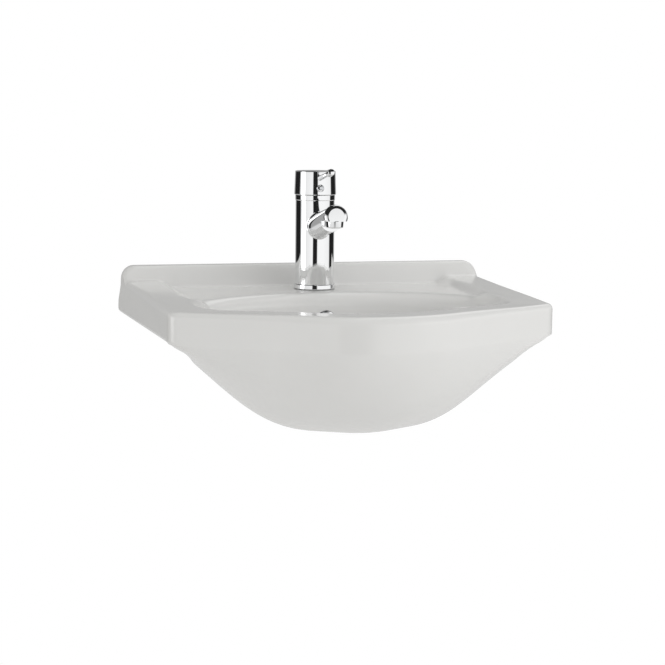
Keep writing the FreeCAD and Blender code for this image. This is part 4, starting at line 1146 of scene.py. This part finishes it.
def finish(name, dark, light, grain, rough, bump, stretch=(1.0, 1.0, 1.0), **shine):
    """A material whose colour, roughness and bump follow one noise of a given grain."""
    material = bpy.data.materials.new(name)
    material.use_nodes = True
    tree = material.node_tree
    shader = tree.nodes["Principled BSDF"]
    for socket, value in shine.items():
        shader.inputs[socket.replace("_", " ")].default_value = value
    place = add_node(tree, "ShaderNodeTexCoord")
    scale = add_node(tree, "ShaderNodeMapping", Scale=stretch)
    tree.links.new(place.outputs["Object"], scale.inputs["Vector"])
    noise = add_node(
        tree, "ShaderNodeTexNoise", Scale=grain, Detail=NOISE_DETAIL, Roughness=NOISE_ROUGHNESS)
    tree.links.new(scale.outputs["Vector"], noise.inputs["Vector"])
    tint = add_node(tree, "ShaderNodeValToRGB")
    for stop, share, colour in zip(tint.color_ramp.elements, (NOISE_LOW, NOISE_HIGH), (dark, light)):
        stop.position = share
        stop.color = (*colour, 1.0)
    tree.links.new(noise.outputs["Fac"], tint.inputs["Fac"])
    tree.links.new(tint.outputs["Color"], shader.inputs["Base Color"])
    gloss = add_node(tree, "ShaderNodeMapRange")
    gloss.inputs["From Min"].default_value = NOISE_LOW
    gloss.inputs["From Max"].default_value = NOISE_HIGH
    gloss.inputs["To Min"].default_value = rough[0]
    gloss.inputs["To Max"].default_value = rough[1]
    tree.links.new(noise.outputs["Fac"], gloss.inputs["Value"])
    tree.links.new(gloss.outputs["Result"], shader.inputs["Roughness"])
    relief = add_node(tree, "ShaderNodeBump", Strength=bump[0], Distance=bump[1])
    tree.links.new(noise.outputs["Fac"], relief.inputs["Height"])
    tree.links.new(relief.outputs["Normal"], shader.inputs["Normal"])
    return material


# %% [markdown]
# Two finishes make the picture: the glaze, white and a little softer than a mirror under a clear
# coat, and the chrome, which is nearly all reflection.

# %% Glaze and chrome
finishes = {}
finishes["glaze"] = finish(
    "white_glaze", (0.80, 0.80, 0.795), (0.82, 0.82, 0.815), grain=9.0, rough=(0.20, 0.24),
    bump=(0.02, 0.001), Specular_IOR_Level=0.4, Coat_Weight=0.35, Coat_Roughness=0.08)
finishes["chrome"] = finish(
    "bright_chrome", (0.90, 0.905, 0.91), (0.93, 0.935, 0.94), grain=14.0, rough=(0.025, 0.05),
    bump=(0.01, 0.0005), Metallic=1.0)
print("finishes", sorted(finishes))

# %% [markdown]
# The rest is seen from below, in the waste or when the tap is taken apart: black rubber, turned
# brass, plain steel, moulded plastic, the lapped discs of the cartridge and the grey index plug.

# %% Finishes of the small and hidden pieces
finishes["rubber"] = finish(
    "black_rubber", (0.018, 0.018, 0.018), (0.03, 0.03, 0.03), grain=600.0, rough=(0.6, 0.8),
    bump=(0.2, 0.0004))
finishes["brass"] = finish(
    "turned_brass", (0.62, 0.44, 0.17), (0.74, 0.56, 0.25), grain=300.0, rough=(0.22, 0.34),
    bump=(0.1, 0.0003), stretch=(0.2, 0.2, 4.0), Metallic=1.0)
finishes["steel"] = finish(
    "plain_steel", (0.46, 0.46, 0.47), (0.58, 0.58, 0.60), grain=400.0, rough=(0.25, 0.38),
    bump=(0.1, 0.0003), stretch=(4.0, 0.3, 0.3), Metallic=1.0)
finishes["plastic"] = finish(
    "moulded_plastic", (0.70, 0.70, 0.67), (0.77, 0.77, 0.74), grain=900.0, rough=(0.38, 0.5),
    bump=(0.1, 0.0002))
finishes["disc"] = finish(
    "lapped_ceramic", (0.78, 0.75, 0.68), (0.84, 0.81, 0.74), grain=250.0, rough=(0.12, 0.2),
    bump=(0.03, 0.0002))
finishes["index"] = finish(
    "index_grey", (0.60, 0.61, 0.63), (0.66, 0.67, 0.69), grain=500.0, rough=(0.06, 0.1),
    bump=(0.02, 0.0002), Metallic=1.0)
print("finishes", sorted(finishes))

# %% [markdown]
# The record of the part says which finish each node has. The nodes that keep their solids get it in
# the slot that they already have, and the new meshes get their own.

# %% Dress every piece
slots = {entry["node"]: entry["material_slot"] for entry in frame["record"]["subparts"]}
for name, node in frame["nodes"].items():
    for slot in node.material_slots:
        slot.material = finishes[slots[name]]
ceramic.data.materials.append(finishes["glaze"])
for node, (piece, body) in turned.items():
    piece.data.materials.append(finishes[slots[node]])
print("finishes", len(finishes), "nodes", len(slots))
